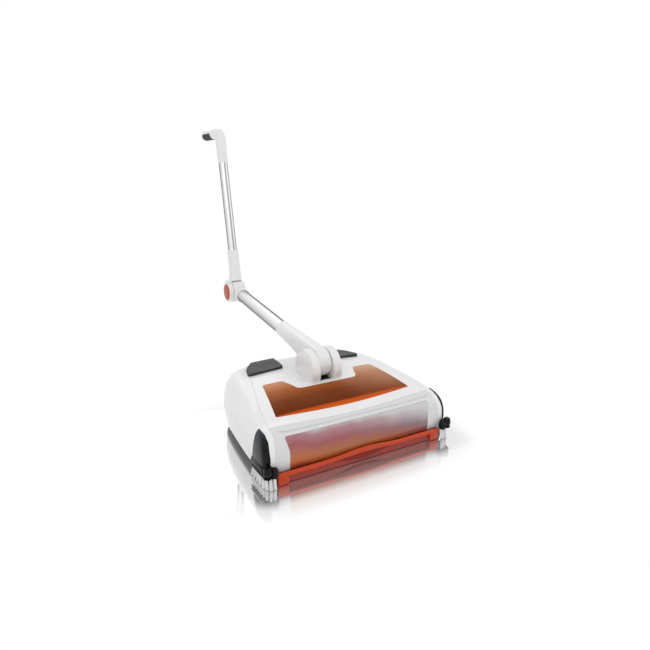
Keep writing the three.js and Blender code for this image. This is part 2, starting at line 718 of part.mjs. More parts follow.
function driveBelt() {
  const low = belt.left + belt.margin + gap;
  const top = belt.right - belt.margin - gap;
  const around = prismX(beltLoop(gap + belt.thick), low, top);
  return around.subtract(prismX(beltLoop(gap), low - overrun, top + overrun));
}

function motorPulley() {
  const profile = [[belt.left, 0], [belt.left, motor.shaftRadius], [motor.left + motor.boss, motor.shaftRadius]];
  profile.push([motor.left + motor.boss, 0]);
  const shaft = turned("x", profile, screw.sides, 0, motor.y, motor.z);
  return joined(pulley(belt.motorRadius, motor.shaftRadius / 2, motor.y, motor.z), shaft);
}

function driveMotor() {
  const bore = motor.shaftRadius + gap;
  const shoulder = motor.radius / 2;
  const deep = motor.left + motor.boss + gap;
  const profile = [[motor.left, bore], [motor.left, shoulder], [motor.left + motor.neck, shoulder]];
  profile.push([motor.left + motor.neck, motor.radius], [motor.right - motor.neck, motor.radius]);
  profile.push([motor.right - motor.neck, shoulder], [motor.right, shoulder], [motor.right, 0]);
  profile.push([deep, 0], [deep, bore], [motor.left, bore]);
  return turned("x", profile, motor.sides, 0, motor.y, motor.z);
}

// Chassis

function wheelAxis(low, top, radius) {
  return rod("x", radius, low, top, screw.sides, 0, wheel.y, wheel.radius);
}

function chassisSide() {
  const parts = [];
  const cuts = [];
  const inner = wheel.x - gap - wheel.lug;
  const outer = wheel.x + wheel.width + gap;
  for (const x of [inner, outer]) {
    const half = wheel.hub;
    parts.push(block(x, x + wheel.lug, wheel.y - half, wheel.y + half, base.plateBottom, wheel.lugTop));
  }
  cuts.push(block(inner + wheel.lug, outer, wheel.y - wheel.well, wheel.y + wheel.well, 0, head.belt));
  cuts.push(wheelAxis(inner - overrun, outer + wheel.lug + overrun, wheel.axleRadius + gap));
  const casterRight = caster.x + caster.width + gap;
  for (const x of [caster.x - gap - caster.lug, casterRight]) {
    const low = caster.radius - caster.lugHalf;
    parts.push(block(x, x + caster.lug, caster.y - caster.lugHalf, caster.y + caster.lugHalf, low, base.plateTop));
  }
  const reach = caster.radius + overrun / 2;
  cuts.push(block(caster.x - gap, casterRight, caster.y - reach, caster.y + reach, 0, head.belt));
  const stubHole = rod("x", caster.stub + gap, caster.x - 2 * caster.lug, casterRight + 2 * caster.lug, screw.sides, 0, caster.y, caster.radius);
  cuts.push(stubHole);
  for (const x of [pedal.ribX, pedal.farRibX]) {
    const half = pedal.barrel;
    parts.push(block(x, x + pedal.rib, pedal.hingeY - half, pedal.hingeY + half, base.plateBottom, pedal.ribTop));
  }
  cuts.push(rod("x", pedal.pin + gap, 0, head.halfWidth, screw.sides, 0, pedal.hingeY, pedal.hingeZ));
  parts.push(rod("z", pedalSpring.postRadius, base.plateBottom, pedalSpring.postTop, pedalSpring.sides, pedalSpring.x, pedalSpring.y, 0));
  parts.push(block(base.sideInner, base.sideInner + base.sidePlate, base.sideFront, base.frontY + base.backWall, base.plateBottom, base.sideTop));
  for (const [x, y] of [[post.frontX, post.frontY], [post.rearX, post.rearY]]) {
    const headSpace = screw.headRadius + gap;
    cuts.push(rod("z", headSpace, base.plateBottom - overrun, screw.headTop, screw.sides, x, y, 0));
    cuts.push(rod("z", screw.shaftRadius + gap, base.plateBottom, base.plateTop + overrun, screw.sides, x, y, 0));
  }
  return { parts: joined(...parts), cuts: joined(...cuts) };
}

function chassis() {
  const outline = insetLoop(wallLoop, head.wall + head.draft + 2 * gap).map((p) => [p.x, p.y]);
  const back = block(-wide, wide, base.frontY, 2 * wide, 0, high);
  const plate = prismZ(outline, base.plateBottom, base.plateTop).intersect(back);
  const wallBack = base.frontY + base.backWall;
  const rear = block(base.innerWall, base.sideInner + base.sidePlate, base.frontY, wallBack, base.plateBottom, base.wallTop);
  const inner = block(base.innerWall, base.innerWall + base.innerThick, base.sideFront, wallBack, base.plateBottom, base.wallTop);
  const throat = block(-base.throatHalf, base.throatHalf, -overrun, wallBack + overrun, base.throatLow, base.throatHigh);
  const axleHole = rod("x", brush.axleRadius + gap, -wide, wide, belt.sides, 0, brush.y, brush.z);
  const core = pedestal.halfWidth - pedestal.wall;
  const stand = block(-pedestal.halfWidth, pedestal.halfWidth, pedestal.front, pedestal.back, base.plateBottom, pedestal.top);
  const hollow = block(-core, core, pedestal.front + pedestal.wall, pedestal.back - pedestal.wall, 0, pedestal.top - pedestal.wall);
  const seat = block(cradle.left, cradle.right, motor.y - cradle.halfDepth, motor.y + cradle.halfDepth, base.plateBottom, cradle.top);
  const motorSpace = rod("x", motor.radius + gap, motor.left, motor.right, motor.sides, 0, motor.y, motor.z);
  const bay = block(-door.halfWidth, door.halfWidth, door.front, door.back, 0, head.belt);
  const starterPost = block(
    starter.x - starter.width / 2, starter.x + starter.width / 2, starter.y - starter.depth / 2,
    starter.y + starter.depth / 2, base.plateBottom, starter.low - gap,
  );
  const standoffs = [board.left, board.right].map((x) => {
    const side = x === board.left ? x + board.standoff : x - board.standoff;
    const middle = (board.front + board.back) / 2;
    return rod("z", board.standoff, base.plateBottom, board.bottom - gap, screw.sides, side, middle, 0);
  });
  const { parts, cuts } = chassisSide();
  const clipped = joined(parts, mirrored(parts)).intersect(headForm(head.wall + gap, 0));
  const body = joined(plate, rear, inner, clipped, stand, seat, starterPost, ...standoffs);
  return cut(body, hollow, throat, axleHole, motorSpace, bay, cuts, mirrored(cuts));
}

function batteryDoor() {
  const side = door.halfWidth - gap;
  return block(-side, side, door.front + gap, door.back - gap, base.plateBottom, base.plateBottom + door.thick);
}

// Six cells in one wrap: two end to end, three side by side.
function batteryPack() {
  const cells = [];
  for (let row = 0; row < cell.rows; row += 1) {
    const y = cell.front + cell.radius + row * cell.pitch;
    cells.push(rod("x", cell.radius, -cell.length, cell.length, cell.sides, 0, y, cell.bottom + cell.radius));
  }
  return joined(...cells);
}

function circuitBoard() {
  const plate = block(board.left, board.right, board.front, board.back, board.bottom, board.bottom + board.thick);
  const chip = block(
    board.left + board.standoff * 2, board.left + board.standoff * 4, board.front + board.standoff * 2,
    board.front + board.standoff * 5, board.bottom, board.bottom + 2 * board.thick,
  );
  const coil = rod(
    "z", board.standoff, board.bottom, board.bottom + 4 * board.thick, screw.sides,
    board.right - board.standoff * 3, board.back - board.standoff * 3, 0,
  );
  return joined(plate, chip, coil);
}

function chargeSocket() {
  const back = head.front + head.depth - head.wall + overrun - gap;
  const start = back - socket.depth;
  const flange = start + socket.flangeThick * 2;
  const profile = [[start, 0], [start, socket.flange], [flange, socket.flange], [flange, socket.outer]];
  profile.push([back, socket.outer], [back, socket.bore], [flange, socket.bore], [flange, 0]);
  return turned("y", profile, socket.sides, socket.x, 0, socket.z);
}

function starterSwitch() {
  const body = block(
    starter.x - starter.width / 2, starter.x + starter.width / 2, starter.y - starter.depth / 2,
    starter.y + starter.depth / 2, starter.low, starter.low + starter.height,
  );
  return joined(body, rod("z", starter.plunger, starter.low, starter.top, screw.sides, starter.x, starter.y, 0));
}

function baseScrew(x, y) {
  const top = screw.headBottom + screw.length;
  const profile = [[screw.headBottom, 0], [screw.headBottom, screw.headRadius], [screw.headTop - gap, screw.headRadius]];
  profile.push([screw.headTop - gap, screw.shaftRadius], [top, screw.shaftRadius], [top, 0]);
  return turned("z", profile, screw.sides, x, y, 0);
}

// Wheels and front casters

function rearWheel() {
  const low = wheel.x + gap;
  const top = wheel.x + wheel.width - gap;
  const middle = wheel.x + wheel.width / 2;
  const bore = wheel.axleRadius + gap;
  const tread = wheel.radius - wheel.groove;
  const profile = [[low, bore], [low, wheel.radius], [middle - wheel.groove, wheel.radius], [middle, tread]];
  profile.push([middle + wheel.groove, wheel.radius], [top, wheel.radius], [top, tread - wheel.lug]);
  profile.push([top - wheel.groove, tread - wheel.lug], [top - wheel.groove, wheel.hub], [top, wheel.hub]);
  profile.push([top, bore], [low, bore]);
  return turned("x", profile, motor.sides, 0, wheel.y, wheel.radius);
}

function rearAxle() {
  const low = wheel.x - gap - wheel.lug;
  return wheelAxis(low, wheel.x + wheel.width + gap + wheel.lug, wheel.axleRadius);
}

function frontCaster() {
  const low = caster.x;
  const top = caster.x + caster.width;
  const stub = caster.lug;
  const profile = [[low - stub, 0], [low - stub, caster.stub], [low + gap, caster.stub], [low + gap, caster.radius]];
  profile.push([top - gap, caster.radius], [top - gap, caster.stub], [top + stub, caster.stub], [top + stub, 0]);
  return turned("x", profile, roller.sides, 0, caster.y, caster.radius);
}

// Pedals

function footPedal() {
  const wedge = prismZ(pedalPlan(0), pedal.bottom, high).intersect(headForm(-pedal.proud, 0));
  const low = pedal.ribX + pedal.rib + gap;
  const top = pedal.farRibX - gap;
  const barrel = rod("x", pedal.barrel, low, top, screw.sides, 0, pedal.hingeY, pedal.hingeZ);
  const bore = rod("x", pedal.pin + gap, low - overrun, top + overrun, screw.sides, 0, pedal.hingeY, pedal.hingeZ);
  return joined(wedge, barrel).subtract(bore);
}

function pedalPin() {
  return rod("x", pedal.pin, pedal.ribX, pedal.farRibX + pedal.rib, screw.sides, 0, pedal.hingeY, pedal.hingeZ);
}

function ringSpring(axis, outer, inner, low, top, sides, x, y, z) {
  return turned(axis, [[low, inner], [low, outer], [top, outer], [top, inner], [low, inner]], sides, x, y, z);
}

// Handle bracket

function bracketCheek() {
  const flat = cheek.radius - cheek.edge;
  const rim = cheek.outer - cheek.edge;
  const profile = [[cheek.inner, 0], [cheek.inner, cheek.radius], [rim, cheek.radius]];
  for (let k = 1; k <= cheek.steps; k += 1) {
    const angle = (k / cheek.steps) * (Math.PI / 2);
    profile.push([rim + cheek.edge * Math.sin(angle), flat + cheek.edge * Math.cos(angle)]);
  }
  for (let k = 1; k <= cheek.steps; k += 1) {
    const share = 1 - k / cheek.steps;
    profile.push([cheek.outer + cheek.dome * (1 - share ** 2), flat * share]);
  }
  return turned("x", profile, cheek.sides, 0, cheek.y, cheek.z);
}

function handleBracket() {
  const right = bracketCheek();
  const across = cheek.inner + overrun;
  const bed = block(-across, across, saddle.front, saddle.back, saddle.bottom, saddle.top);
  const neck = block(
    -saddle.neckHalf, saddle.neckHalf, saddle.neckFront, saddle.neckBack, pedestal.top + gap, saddle.bottom + overrun,
  );
  const bore = rod("x", pivot.radius + gap, -pivot.end - gap, pivot.end + gap, screw.sides * 2, 0, pivot.y, pivot.z);
  const linerSpace = block(
    -liner.halfWidth - gap, liner.halfWidth + gap, liner.front - gap, liner.back + gap, saddle.top, liner.top + gap,
  );
  return cut(joined(right, mirrored(right), bed, neck), bore, linerSpace);
}

function slotLiner() {
  return block(-liner.halfWidth, liner.halfWidth, liner.front, liner.back, saddle.top + gap, liner.top);
}

function pivotPin() {
  return rod("x", pivot.radius, -pivot.end, pivot.end, screw.sides * 2, 0, pivot.y, pivot.z);
}

// Pole, in its own frame: Y along the pole from the pivot pin, Z away from the floor

function mix(from, to, share) {
  return from + (to - from) * share;
}

function poleSocket() {
  const sections = [];
  for (let k = 1; k <= knuckle.arcSteps; k += 1) {
    const angle = ((k - 1 / knuckle.arcSteps) / knuckle.arcSteps) * (Math.PI / 2);
    sections.push({ y: -knuckle.radius * Math.cos(angle), halfX: knuckle.half, halfZ: knuckle.radius * Math.sin(angle), power: knuckle.boxy });
  }
  for (const [along, tall, broad, lift] of taperShares) {
    sections.push({
      y: pole.sleeveEnd * along,
      z: pole.axis * lift,
      halfX: mix(knuckle.half, knuckle.sleeve, broad),
      halfZ: mix(knuckle.radius, knuckle.sleeve, tall),
      power: mix(knuckle.boxy, knuckle.round, Math.sqrt(tall)),
    });
  }
  const body = loft(sections.map((section) => sectionRing(section, knuckle.sides)));
  const pin = rod("x", pivot.radius + gap, -wide, wide, screw.sides * 2, 0, 0, 0);
  const bore = rod(
    "y", pole.tubeRadius + gap, pole.tubeStart - gap, pole.sleeveEnd + overrun, pole.sides, 0, 0, pole.axis,
  );
  return cut(body, pin, bore);
}

function hollowTube(radius, wall, low, top, sides, z) {
  const inner = radius - wall;
  return turned("y", [[low, inner], [low, radius], [top, radius], [top, inner], [low, inner]], sides, 0, 0, z);
}

function elbowLower() {
  const drum = puck(-elbow.half, elbow.half, elbow.radius, elbow.edge, elbow.sides, pole.elbow, pole.axis);
  const plateSpace = rod("x", fork.plateRadius + gap, -wide, -elbow.half, elbow.sides, 0, pole.elbow, pole.axis);
  const neck = rod("y", elbow.neckRadius, elbow.neckStart, pole.elbow, pole.sides, 0, 0, pole.axis).subtract(plateSpace);
  const bore = rod(
    "y", pole.tubeRadius + gap, elbow.neckStart - overrun, elbow.boreEnd + gap, pole.sides, 0, 0, pole.axis,
  );
  const pin = rod("x", elbow.pinRadius + gap, -wide, wide, elbow.pinSides, 0, pole.elbow, pole.axis);
  return cut(joined(drum, neck), bore, pin);
}

// Upper part, in its own frame: Y along the upper tube from the elbow's axis

function elbowUpper() {
  const span = upper.sleeveEnd - fork.low;
  const wideHalf = (fork.sleeve - fork.plateOuter) / 2;
  const wideX = (fork.sleeve + fork.plateOuter) / 2;
  const sections = forkShares.map(([along, blend]) => ({
    x: mix(wideX, 0, blend),
    y: fork.low + span * along,
    halfX: mix(wideHalf, fork.sleeve, blend),
    halfZ: mix(fork.lowHalfZ, fork.sleeve, blend),
    power: mix(fork.boxy, fork.round, blend),
  }));
  const sleeve = loft(sections.map((section) => sectionRing(section, fork.sides)));
  const plate = puck(fork.plateOuter, fork.plateInner, fork.plateRadius, fork.edge, elbow.sides, 0, 0);
  const strap = block(
    fork.plateOuter + fork.edge, fork.plateInner, 0, fork.low + overrun, -fork.lowHalfZ, fork.lowHalfZ,
  );
  const recess = rod("x", fork.recess, fork.plateOuter - overrun, fork.floor, elbow.sides, 0, 0, 0);
  const pin = rod("x", elbow.pinRadius + gap, fork.floor - overrun, 0, elbow.pinSides, 0, 0, 0);
  const bore = rod("y", upper.tubeRadius + gap, upper.boreStart - gap, upper.sleeveEnd + overrun, upper.sides, 0, 0, 0);
  return cut(joined(sleeve, plate, strap), recess, pin, bore);
}

function elbowPin() {
  return rod("x", elbow.pinRadius, fork.floor, elbow.half - elbow.edge / 2, elbow.pinSides, 0, 0, 0);
}

function lockButton() {
  const rim = lock.outer + lock.dome;
  const profile = [[lock.outer, 0], [lock.outer + lock.dome / 4, lock.radius / 2], [rim, lock.radius - lock.edge]];
  profile.push([rim + lock.edge, lock.radius], [lock.inner, lock.radius], [lock.inner, 0]);
  return turned("x", profile, elbow.sides, 0, 0, 0);
}

// The grip's centre line bends back from the tube; sections of it, shrunk by some inset
function gripSections(inset) {
  const turnBy = grip.turn;
  const tangent = grip.radius * Math.tan(turnBy / 2);
  const bendStart = grip.corner - tangent;
  const headingY = Math.cos(turnBy);
  const headingZ = -Math.sin(turnBy);
  const stations = [
    { y: grip.start, z: 0, angle: 0, halfX: grip.lowX, halfZ: grip.lowZ },
    { y: mix(grip.start, bendStart, 1 / 2), z: 0, angle: 0, halfX: grip.midX, halfZ: grip.midZ },
  ];
  for (let k = 0; k <= grip.arcSteps; k += 1) {
    const angle = (k / grip.arcSteps) * turnBy;
    const y = bendStart + grip.radius * Math.sin(angle);
    const z = -grip.radius * (1 - Math.cos(angle));
    stations.push({ y, z, angle, halfX: grip.midX, halfZ: mix(grip.midZ, grip.topZ, k / grip.arcSteps) });
  }
  const last = grip.reach - grip.cap;
  for (const along of [mix(tangent, last, 1 / 3), mix(tangent, last, 2 / 3), last]) {
    const y = grip.corner + along * headingY;
    stations.push({ y, z: along * headingZ, angle: turnBy, halfX: grip.topX, halfZ: grip.topZ });
  }
  for (let k = 1; k <= grip.capSteps; k += 1) {
    const round = (k / (grip.capSteps + 1 / 2)) * (Math.PI / 2);
    const along = last + grip.cap * Math.sin(round);
    const shrink = Math.cos(round);
    const y = grip.corner + along * headingY;
    stations.push({ y, z: along * headingZ, angle: turnBy, halfX: grip.topX * shrink, halfZ: grip.topZ * shrink });
  }
  return stations.map(({ y, z, angle, halfX, halfZ }) => {
    const ring = sectionRing({ y: 0, halfX: halfX - inset, halfZ: halfZ - inset, power: 2.2 }, grip.sides);
    const place = new THREE.Matrix4().makeRotationX(-angle).setPosition(0, y, z);
    return ring.map((p) => p.applyMatrix4(place));
  });
}

// The space of the soft pad: the lower part of the grip's back stretch.
function padSpace(clearance) {
  const tall = grip.topZ * 2;
  const low = -tall;
  const top = grip.topZ * pad.topShare + clearance;
  const space = block(-wide, wide, pad.front - clearance, pad.back + clearance, low, top);
  const geometry = geometryOf(space);
  geometry.rotateX(-grip.turn).translate(0, grip.corner, 0);
  return solidOf(geometry);
}

function gripBody() {
  const body = loft(gripSections(0));
  const bore = rod(
    "y", upper.tubeRadius + gap, grip.start - overrun, upper.tubeEnd + gap, upper.sides, 0, 0, 0,
  );
  const layer = padSpace(gap).subtract(loft(gripSections(pad.deep + gap)));
  return cut(body, bore, layer);
}

function gripPad() {
  const layer = loft(gripSections(-pad.proud)).subtract(loft(gripSections(pad.deep)));
  return layer.intersect(padSpace(0));
}

// Assembly

add("housing", housing(), "white");
add("top_panel", topPanel(), "white");
add("window_frame", windowFrame(), "white");
add("front_window", frontWindow(), "clear");
add("front_lip", frontLip(), "amber");
add("dust_window", dustWindow(), "amber");
add("dust_tray", dustTray(), "amber");
addPair("corner_guard", cornerGuard(), "black");
addPair("corner_roller", bumperRoller(), "black");
addPair("side_tufts", sideTufts(), "bristle");
add("brush_core", brushCore(), "grey");
add("brush_bristles", brushBristles(), "brushOrange");
add("brush_axle", brushAxle(), "steel");
add("brush_pulley", pulley(belt.brushRadius, brush.axleRadius + gap, brush.y, brush.z), "grey");
add("drive_belt", driveBelt(), "rubber");
add("motor_pulley", motorPulley(), "steel");
add("drive_motor", driveMotor(), "steel");
add("chassis", chassis(), "grey");
add("battery_door", batteryDoor(), "grey");
add("battery_pack", batteryPack(), "wrap");
add("circuit_board", circuitBoard(), "green");
add("charge_socket", chargeSocket(), "black");
add("power_switch", starterSwitch(), "black");
addPair("rear_wheel", rearWheel(), "rubber");
addPair("rear_axle", rearAxle(), "steel");
addPair("front_caster", frontCaster(), "charcoal");
addPair("foot_pedal", footPedal(), "charcoal");
addPair("pedal_pin", pedalPin(), "steel");
addPair(
  "pedal_spring",
  ringSpring(
    "z", pedalSpring.outer, pedalSpring.inner, pedalSpring.postTop + gap, pedal.bottom - gap, pedalSpring.sides,
    pedalSpring.x, pedalSpring.y, 0,
  ),
  "steel",
);
addPair("base_screw_front", baseScrew(post.frontX, post.frontY), "steel");
addPair("base_screw_rear", baseScrew(post.rearX, post.rearY), "steel");
add("handle_bracket", handleBracket(), "white");
add("slot_liner", slotLiner(), "black");
add("pivot_pin", pivotPin(), "steel");

const poleGroup = new THREE.Group();
poleGroup.position.set(0, pivot.y, pivot.z);
poleGroup.rotation.x = poleTilt;
model.add(poleGroup);
addTo(poleGroup, "pole_socket", poleSocket(), "white");
addTo(
  poleGroup, "lower_tube",
  hollowTube(pole.tubeRadius, pole.tubeWall, pole.tubeStart, elbow.boreEnd, pole.sides, pole.axis), "silver",
);
addTo(poleGroup, "elbow_lower", elbowLower(), "white");

const upperGroup = new THREE.Group();
upperGroup.position.set(0, pole.elbow, pole.axis);
upperGroup.rotation.x = bend;
poleGroup.add(upperGroup);
addTo(upperGroup, "elbow_upper", elbowUpper(), "white");
addTo(upperGroup, "elbow_pin", elbowPin(), "steel");
addTo(upperGroup, "elbow_button", lockButton(), "orange");
addTo(
  upperGroup, "button_spring",
  ringSpring("x", lock.springOuter, lock.springInner, lock.inner + gap, fork.floor - gap, upper.sides, 0, 0, 0), "steel",
);
addTo(
  upperGroup, "upper_tube",
  hollowTube(upper.tubeRadius, upper.tubeWall, upper.boreStart, upper.tubeEnd, upper.sides, 0), "silver",
);
addTo(upperGroup, "grip", gripBody(), "white");
addTo(upperGroup, "grip_pad", gripPad(), "soft");

// The part's frame: the origin in the middle of the bounding box's base
const part = new THREE.Group();
part.add(model);
part.updateMatrixWorld(true);
const bounds = new THREE.Box3().setFromObject(part, true);
model.position.set(0, -(bounds.min.y + bounds.max.y) / 2, -bounds.min.z);

export default part;
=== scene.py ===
"""Looks of the cordless floor sweeper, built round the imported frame.

The shapes are drawn in the CAD drawing's own frame: millimetres, +Z up, the front faces -Y, and Y = 0 lies at
the front corner rollers. place() moves each finished mesh to the frame's metres.
"""
import random
from math import copysign, cos, pi, radians, sin, sqrt, tan, tau
from types import SimpleNamespace as Sizes

import bmesh
import bpy
from mathutils import Matrix, Vector
from mathutils.bvhtree import BVHTree
from mathutils.interpolate import poly_3d_calc


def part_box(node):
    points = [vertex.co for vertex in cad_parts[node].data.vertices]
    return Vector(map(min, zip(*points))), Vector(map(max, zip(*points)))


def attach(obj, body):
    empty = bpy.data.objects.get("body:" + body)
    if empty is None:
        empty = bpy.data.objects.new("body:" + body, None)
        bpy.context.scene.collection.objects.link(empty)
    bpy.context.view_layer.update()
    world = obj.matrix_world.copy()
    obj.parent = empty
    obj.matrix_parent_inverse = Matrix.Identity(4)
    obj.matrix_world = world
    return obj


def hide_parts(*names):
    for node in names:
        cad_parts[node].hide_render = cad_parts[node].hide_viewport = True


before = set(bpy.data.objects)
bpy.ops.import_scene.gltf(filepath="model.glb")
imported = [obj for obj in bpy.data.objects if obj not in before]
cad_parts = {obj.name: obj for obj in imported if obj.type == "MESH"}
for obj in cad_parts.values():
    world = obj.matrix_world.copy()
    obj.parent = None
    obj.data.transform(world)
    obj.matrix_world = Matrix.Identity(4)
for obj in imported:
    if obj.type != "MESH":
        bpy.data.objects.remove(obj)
scene = bpy.context.scene
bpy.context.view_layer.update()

MM = 0.001
LIP_NOSE = -1.5
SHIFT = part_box("front_lip")[0].y - LIP_NOSE * MM
TO_ROW = Matrix.Translation((0, SHIFT, 0)) @ Matrix.Scale(MM, 4)
GAP = 0.3
OVERRUN = 2
HIGH = 140
WIDE = 200
TINY = 1e-6
WELD = 0.0005
ON_FORM = 0.05
FACES_FORM = 0.8
LEAST_ROUND = 0.05
MOST_ROUND_SHARE = 0.45
INLET_RADIUS = 6

# Places and sizes in millimetres, as in the CAD drawing. Shares are parts of a length.
HEAD = Sizes(
    half_width=162, depth=270, front=3, bottom=14, belt=36, crest=96, crest_y=182, seam_top=76, crown=5,
    wall=2.6, draft=2, power=2.6, crown_power=4, centre_share=0.5,
)
WALL_SHARES = [
    (0, 0), (0.494, 0), (0.9, 0.001), (0.963, 0.0075), (0.994, 0.028), (1, 0.07), (1, 0.18),
    (0.978, 0.396), (0.932, 0.674), (0.883, 0.818), (0.79, 0.915), (0.63, 0.974), (0.34, 0.996), (0, 1),
]
SHOULDER_SHARES = [
    (0, 0.137), (0.444, 0.139), (0.83, 0.144), (0.87, 0.146), (0.895, 0.152), (0.907, 0.174), (0.88, 0.256),
    (0.79, 0.415), (0.74, 0.637), (0.7, 0.75), (0.62, 0.828), (0.48, 0.872), (0.26, 0.89), (0, 0.895),
]
FINE = Sizes(
    per_key=6, arc_steps=16, cap_steps=12, seam_steps=48, corner_steps=6,
    lathe=96, small=48, tube=64, large=128, section=72, bulge=24, pole_key=8,
)
SEAM = Sizes(half_width=142.6, y=34, bow=12)
PANEL_SIDE_SHARES = [(0.84, 0.285), (0.772, 0.448), (0.685, 0.641), (0.66, 0.672)]
LID = Sizes(
    front_half=122.2, front_y=53.2, bow=9, back_half=104.1, back_y=145.6, thick=2.2, below=0.2,
    notch_back=68.7, notch_front=58.9, notch_y=111, notch_corner=12, corner=7, front_corner=2.5,
)
FRONT_FACE = [(147, 0), (146.5, 42), (SEAM.half_width, HEAD.seam_top), (SEAM.half_width, HIGH)]
FRONT_BOTTOM = 17.5
GROOVE = Sizes(half=133, low=71.6, width=0.7, deep=0.6, tab=126.5, tab_low=70, tab_top=73)
PANE = Sizes(top_half=128.6, mid_half=124, mid_height=48, low_half=124.4, top=68, thick=2, corner=4)
LIP = Sizes(
    half_width=145, nose=LIP_NOSE, front=2.4, back=5.8, top=20, crest=4.4, top_reach=70, edge=14.5, arch=3,
    edge_reach=88, shelf=17.2, bead=0.9, skirt_front=2.6, skirt_top=17.2, skirt=12.4, drop=7.2,
    skirt_reach=62, foot_width=17, foot_bottom=1, foot_front=-1, foot_edge=1.6, steps=120, panel_front=4.4,
    brow=1.6, brow_drop=0.4, band_lap=1, skirt_lap=0.6, skirt_lean=0.8, skirt_rise=1.5,
    band_radii=(0.3, 1, 4, 0.9, 0.3, 0.3), skirt_radii=(0.3, 0.3, 0.7, 0.3),
)
GUARD = Sizes(
    thick=1.4, inner=150.5, rail_top=29.5, rail_bottom=21.5, rail_inner=160.4, rail_outer=165.8,
    rail_front=8, ledge=2.6, slope_out=1.8, tip_y=39, tip_height=75.2, heel_y=50, rail_lap=4,
    rail_radii=(0, 1, 1.6, 1.2, 0), tab_edge=0.6,
)
LEAF_REAR_SHARES = [(0.11, 0.84), (0.18, 0.67), (0.35, 0.44), (0.57, 0.19)]
LEAF_FRONT_SHARES = [
    (0.076, 0.07), (0.075, 0.28), (0.1, 0.46), (0.161, 0.63), (0.265, 0.78), (0.424, 0.895), (0.57, 0.95),
]
ROLLER = Sizes(x=161, y=-1.5, z=28.4, radius=6.2, half_height=7, end_share=0.6, flat_share=0.66)
LOBE = Sizes(x=151, y=-2.2, radius=5.6, foot_share=0.94, edge=0.4)
TUFT = Sizes(
    count=5, strands=110, spread=1.9, splay=2.5, radius=0.26, tip=0.2, tip_height=0.5, x=161.9, first=45.6,
    pitch=8.6, backing=2, lean=1.7, fan_share=0.18, sunk=0.5, uneven=0.7,
)
STRIP = Sizes(inner=161.4, outer=165.6, front=0.5, back=49.7)
CORNER_TUFTS = [(161.4, 2.6), (157.2, -2.2), (151.4, -2.2)]
BRUSH = Sizes(
    y=37, z=28.5, core_radius=15, sleeve=1.6, tip_radius=27, left=-126, right=138, rows=4, per_row=150,
    twist=1.25, radius=0.32, tip=0.2, margin=7.5, across=3, bore=3.4, lane_turn=0.09, stray=0.03, fan=0.4,
    sunk=0.5, scatter=0.5, uneven=0.6,
)
PEDAL_SHARES = [(0.259, 0.719), (0.679, 0.685), (0.617, 0.811), (0.475, 0.935), (0.21, 0.952)]
PEDAL = Sizes(
    proud=4.6, bottom=84, clear=1.2, clear_round=1.1, corner=5, edge=1.2, scoop=1.6, bowl_radius=260,
    bowl_back=4,
)
CHEEK = Sizes(
    y=145, z=108, radius=33, inner=12.8, outer=29.5, dome=0.9, rim=27.4, edge=1.4, groove=0.9, chamfer=1,
    dome_radius=30.8, dome_power=0.9,
)
SADDLE = Sizes(
    front=118, back=172, bottom=76, top=88.5, neck_half=26, neck_front=124, neck_back=168, foot=40.3,
)
LINER = Sizes(half_width=12.2, front=121, back=171, top=91.4, edge=0.4)
PIVOT = Sizes(y=145, z=117, radius=5.3)
POLE_TILT = radians(6.8)
POLE = Sizes(elbow=381, axis=7, sleeve_end=142, tube_start=116, tube_radius=13, tube_wall=1.1)
KNUCKLE = Sizes(radius=25, half=12.2, sleeve=14.6, boxy=8, round=2, edge=1.2)
TAPER_SHARES = [
    (0.1, 0.06, 0, 0.14), (0.25, 0.33, 0, 0.46), (0.41, 0.61, 0.5, 0.77), (0.59, 0.83, 1, 0.96),
    (0.79, 0.95, 1.15, 1), (1, 1, 1, 1),
]
ELBOW = Sizes(
    radius=23.5, half=14, edge=3, neck_start=343, neck_radius=15.6, neck_edge=1.2, bore_end=361,
)
BEND = radians(72.5)
FORK = Sizes(
    outer=-24, inner=-14.4, radius=22.4, floor=-18, recess=17.5, edge=2, low=23.9, low_half_z=13.4,
    sleeve=12.4, boxy=3, round=2, end_share=0.985, end_shrink=0.9, strap_edge=1.5,
)
FORK_SHARES = [(0, 0.5), (0.08, 0.72), (0.2, 0.92), (0.35, 1)]
UPPER = Sizes(sleeve_end=92, bore_start=42, tube_end=306, tube_radius=9.5, tube_wall=1)
LOCK = Sizes(outer=-26.4, inner=-21, radius=17, dome=0.8, edge=0.8)
GRIP = Sizes(
    start=281, corner=347, radius=24, turn=radians(79.3), reach=103.5, low=(10.6, 10.6),
    mid=(11, 11.2), top=(10.4, 11.8), cap=9, power=2.2, low_edge=1.2, edge_pitch=0.4,
    edge_shares=(1, 0.5, 0.15, 0), low_steps=9, bend_steps=18, top_steps=12, top_blend=4, cap_steps=9,
    cap_open=0.3,
)
PAD = Sizes(proud=0.6, deep=2.6, front=38, back=92, top_share=0.05, corner=8)
# Stage, camera and looks
FLOOR = Sizes(
    size=12, half_x=166, half_y=132, middle_y=124, lift=0.08, mirror_reach=110, blur=0.035,
    mirror=[(0, 0.92), (0.17, 0.8), (0.34, 0.26), (0.6, 0.07), (1, 0)], plain_from=60, plain_to=380,
)
CAMERA = Sizes(spot=(-418.8, -612.1, 421.5), azimuth=-0.5182, elevation=0.2713, focal_px=540, side_px=650)
LAMP_AIM = Vector((0, -0.1, 0.1))
LAMPS = [
    ("key", (-1.3, -1.5, 1.7), 1.2, 10),
    ("fill", (1.6, -0.9, 1.2), 1.4, 4),
    ("back", (0.3, 1.8, 1.5), 1.2, 4),
]
CLOUDS = Sizes(window=0.34, lid=0.3, scale=16, stretch=(1, 1, 0.5))
STREAKS = Sizes(scale=260, detail=4, smooth=0.75, rough=1.3, relief=0.03, depth=0.0001)
WINDOW_TIP = 0.04
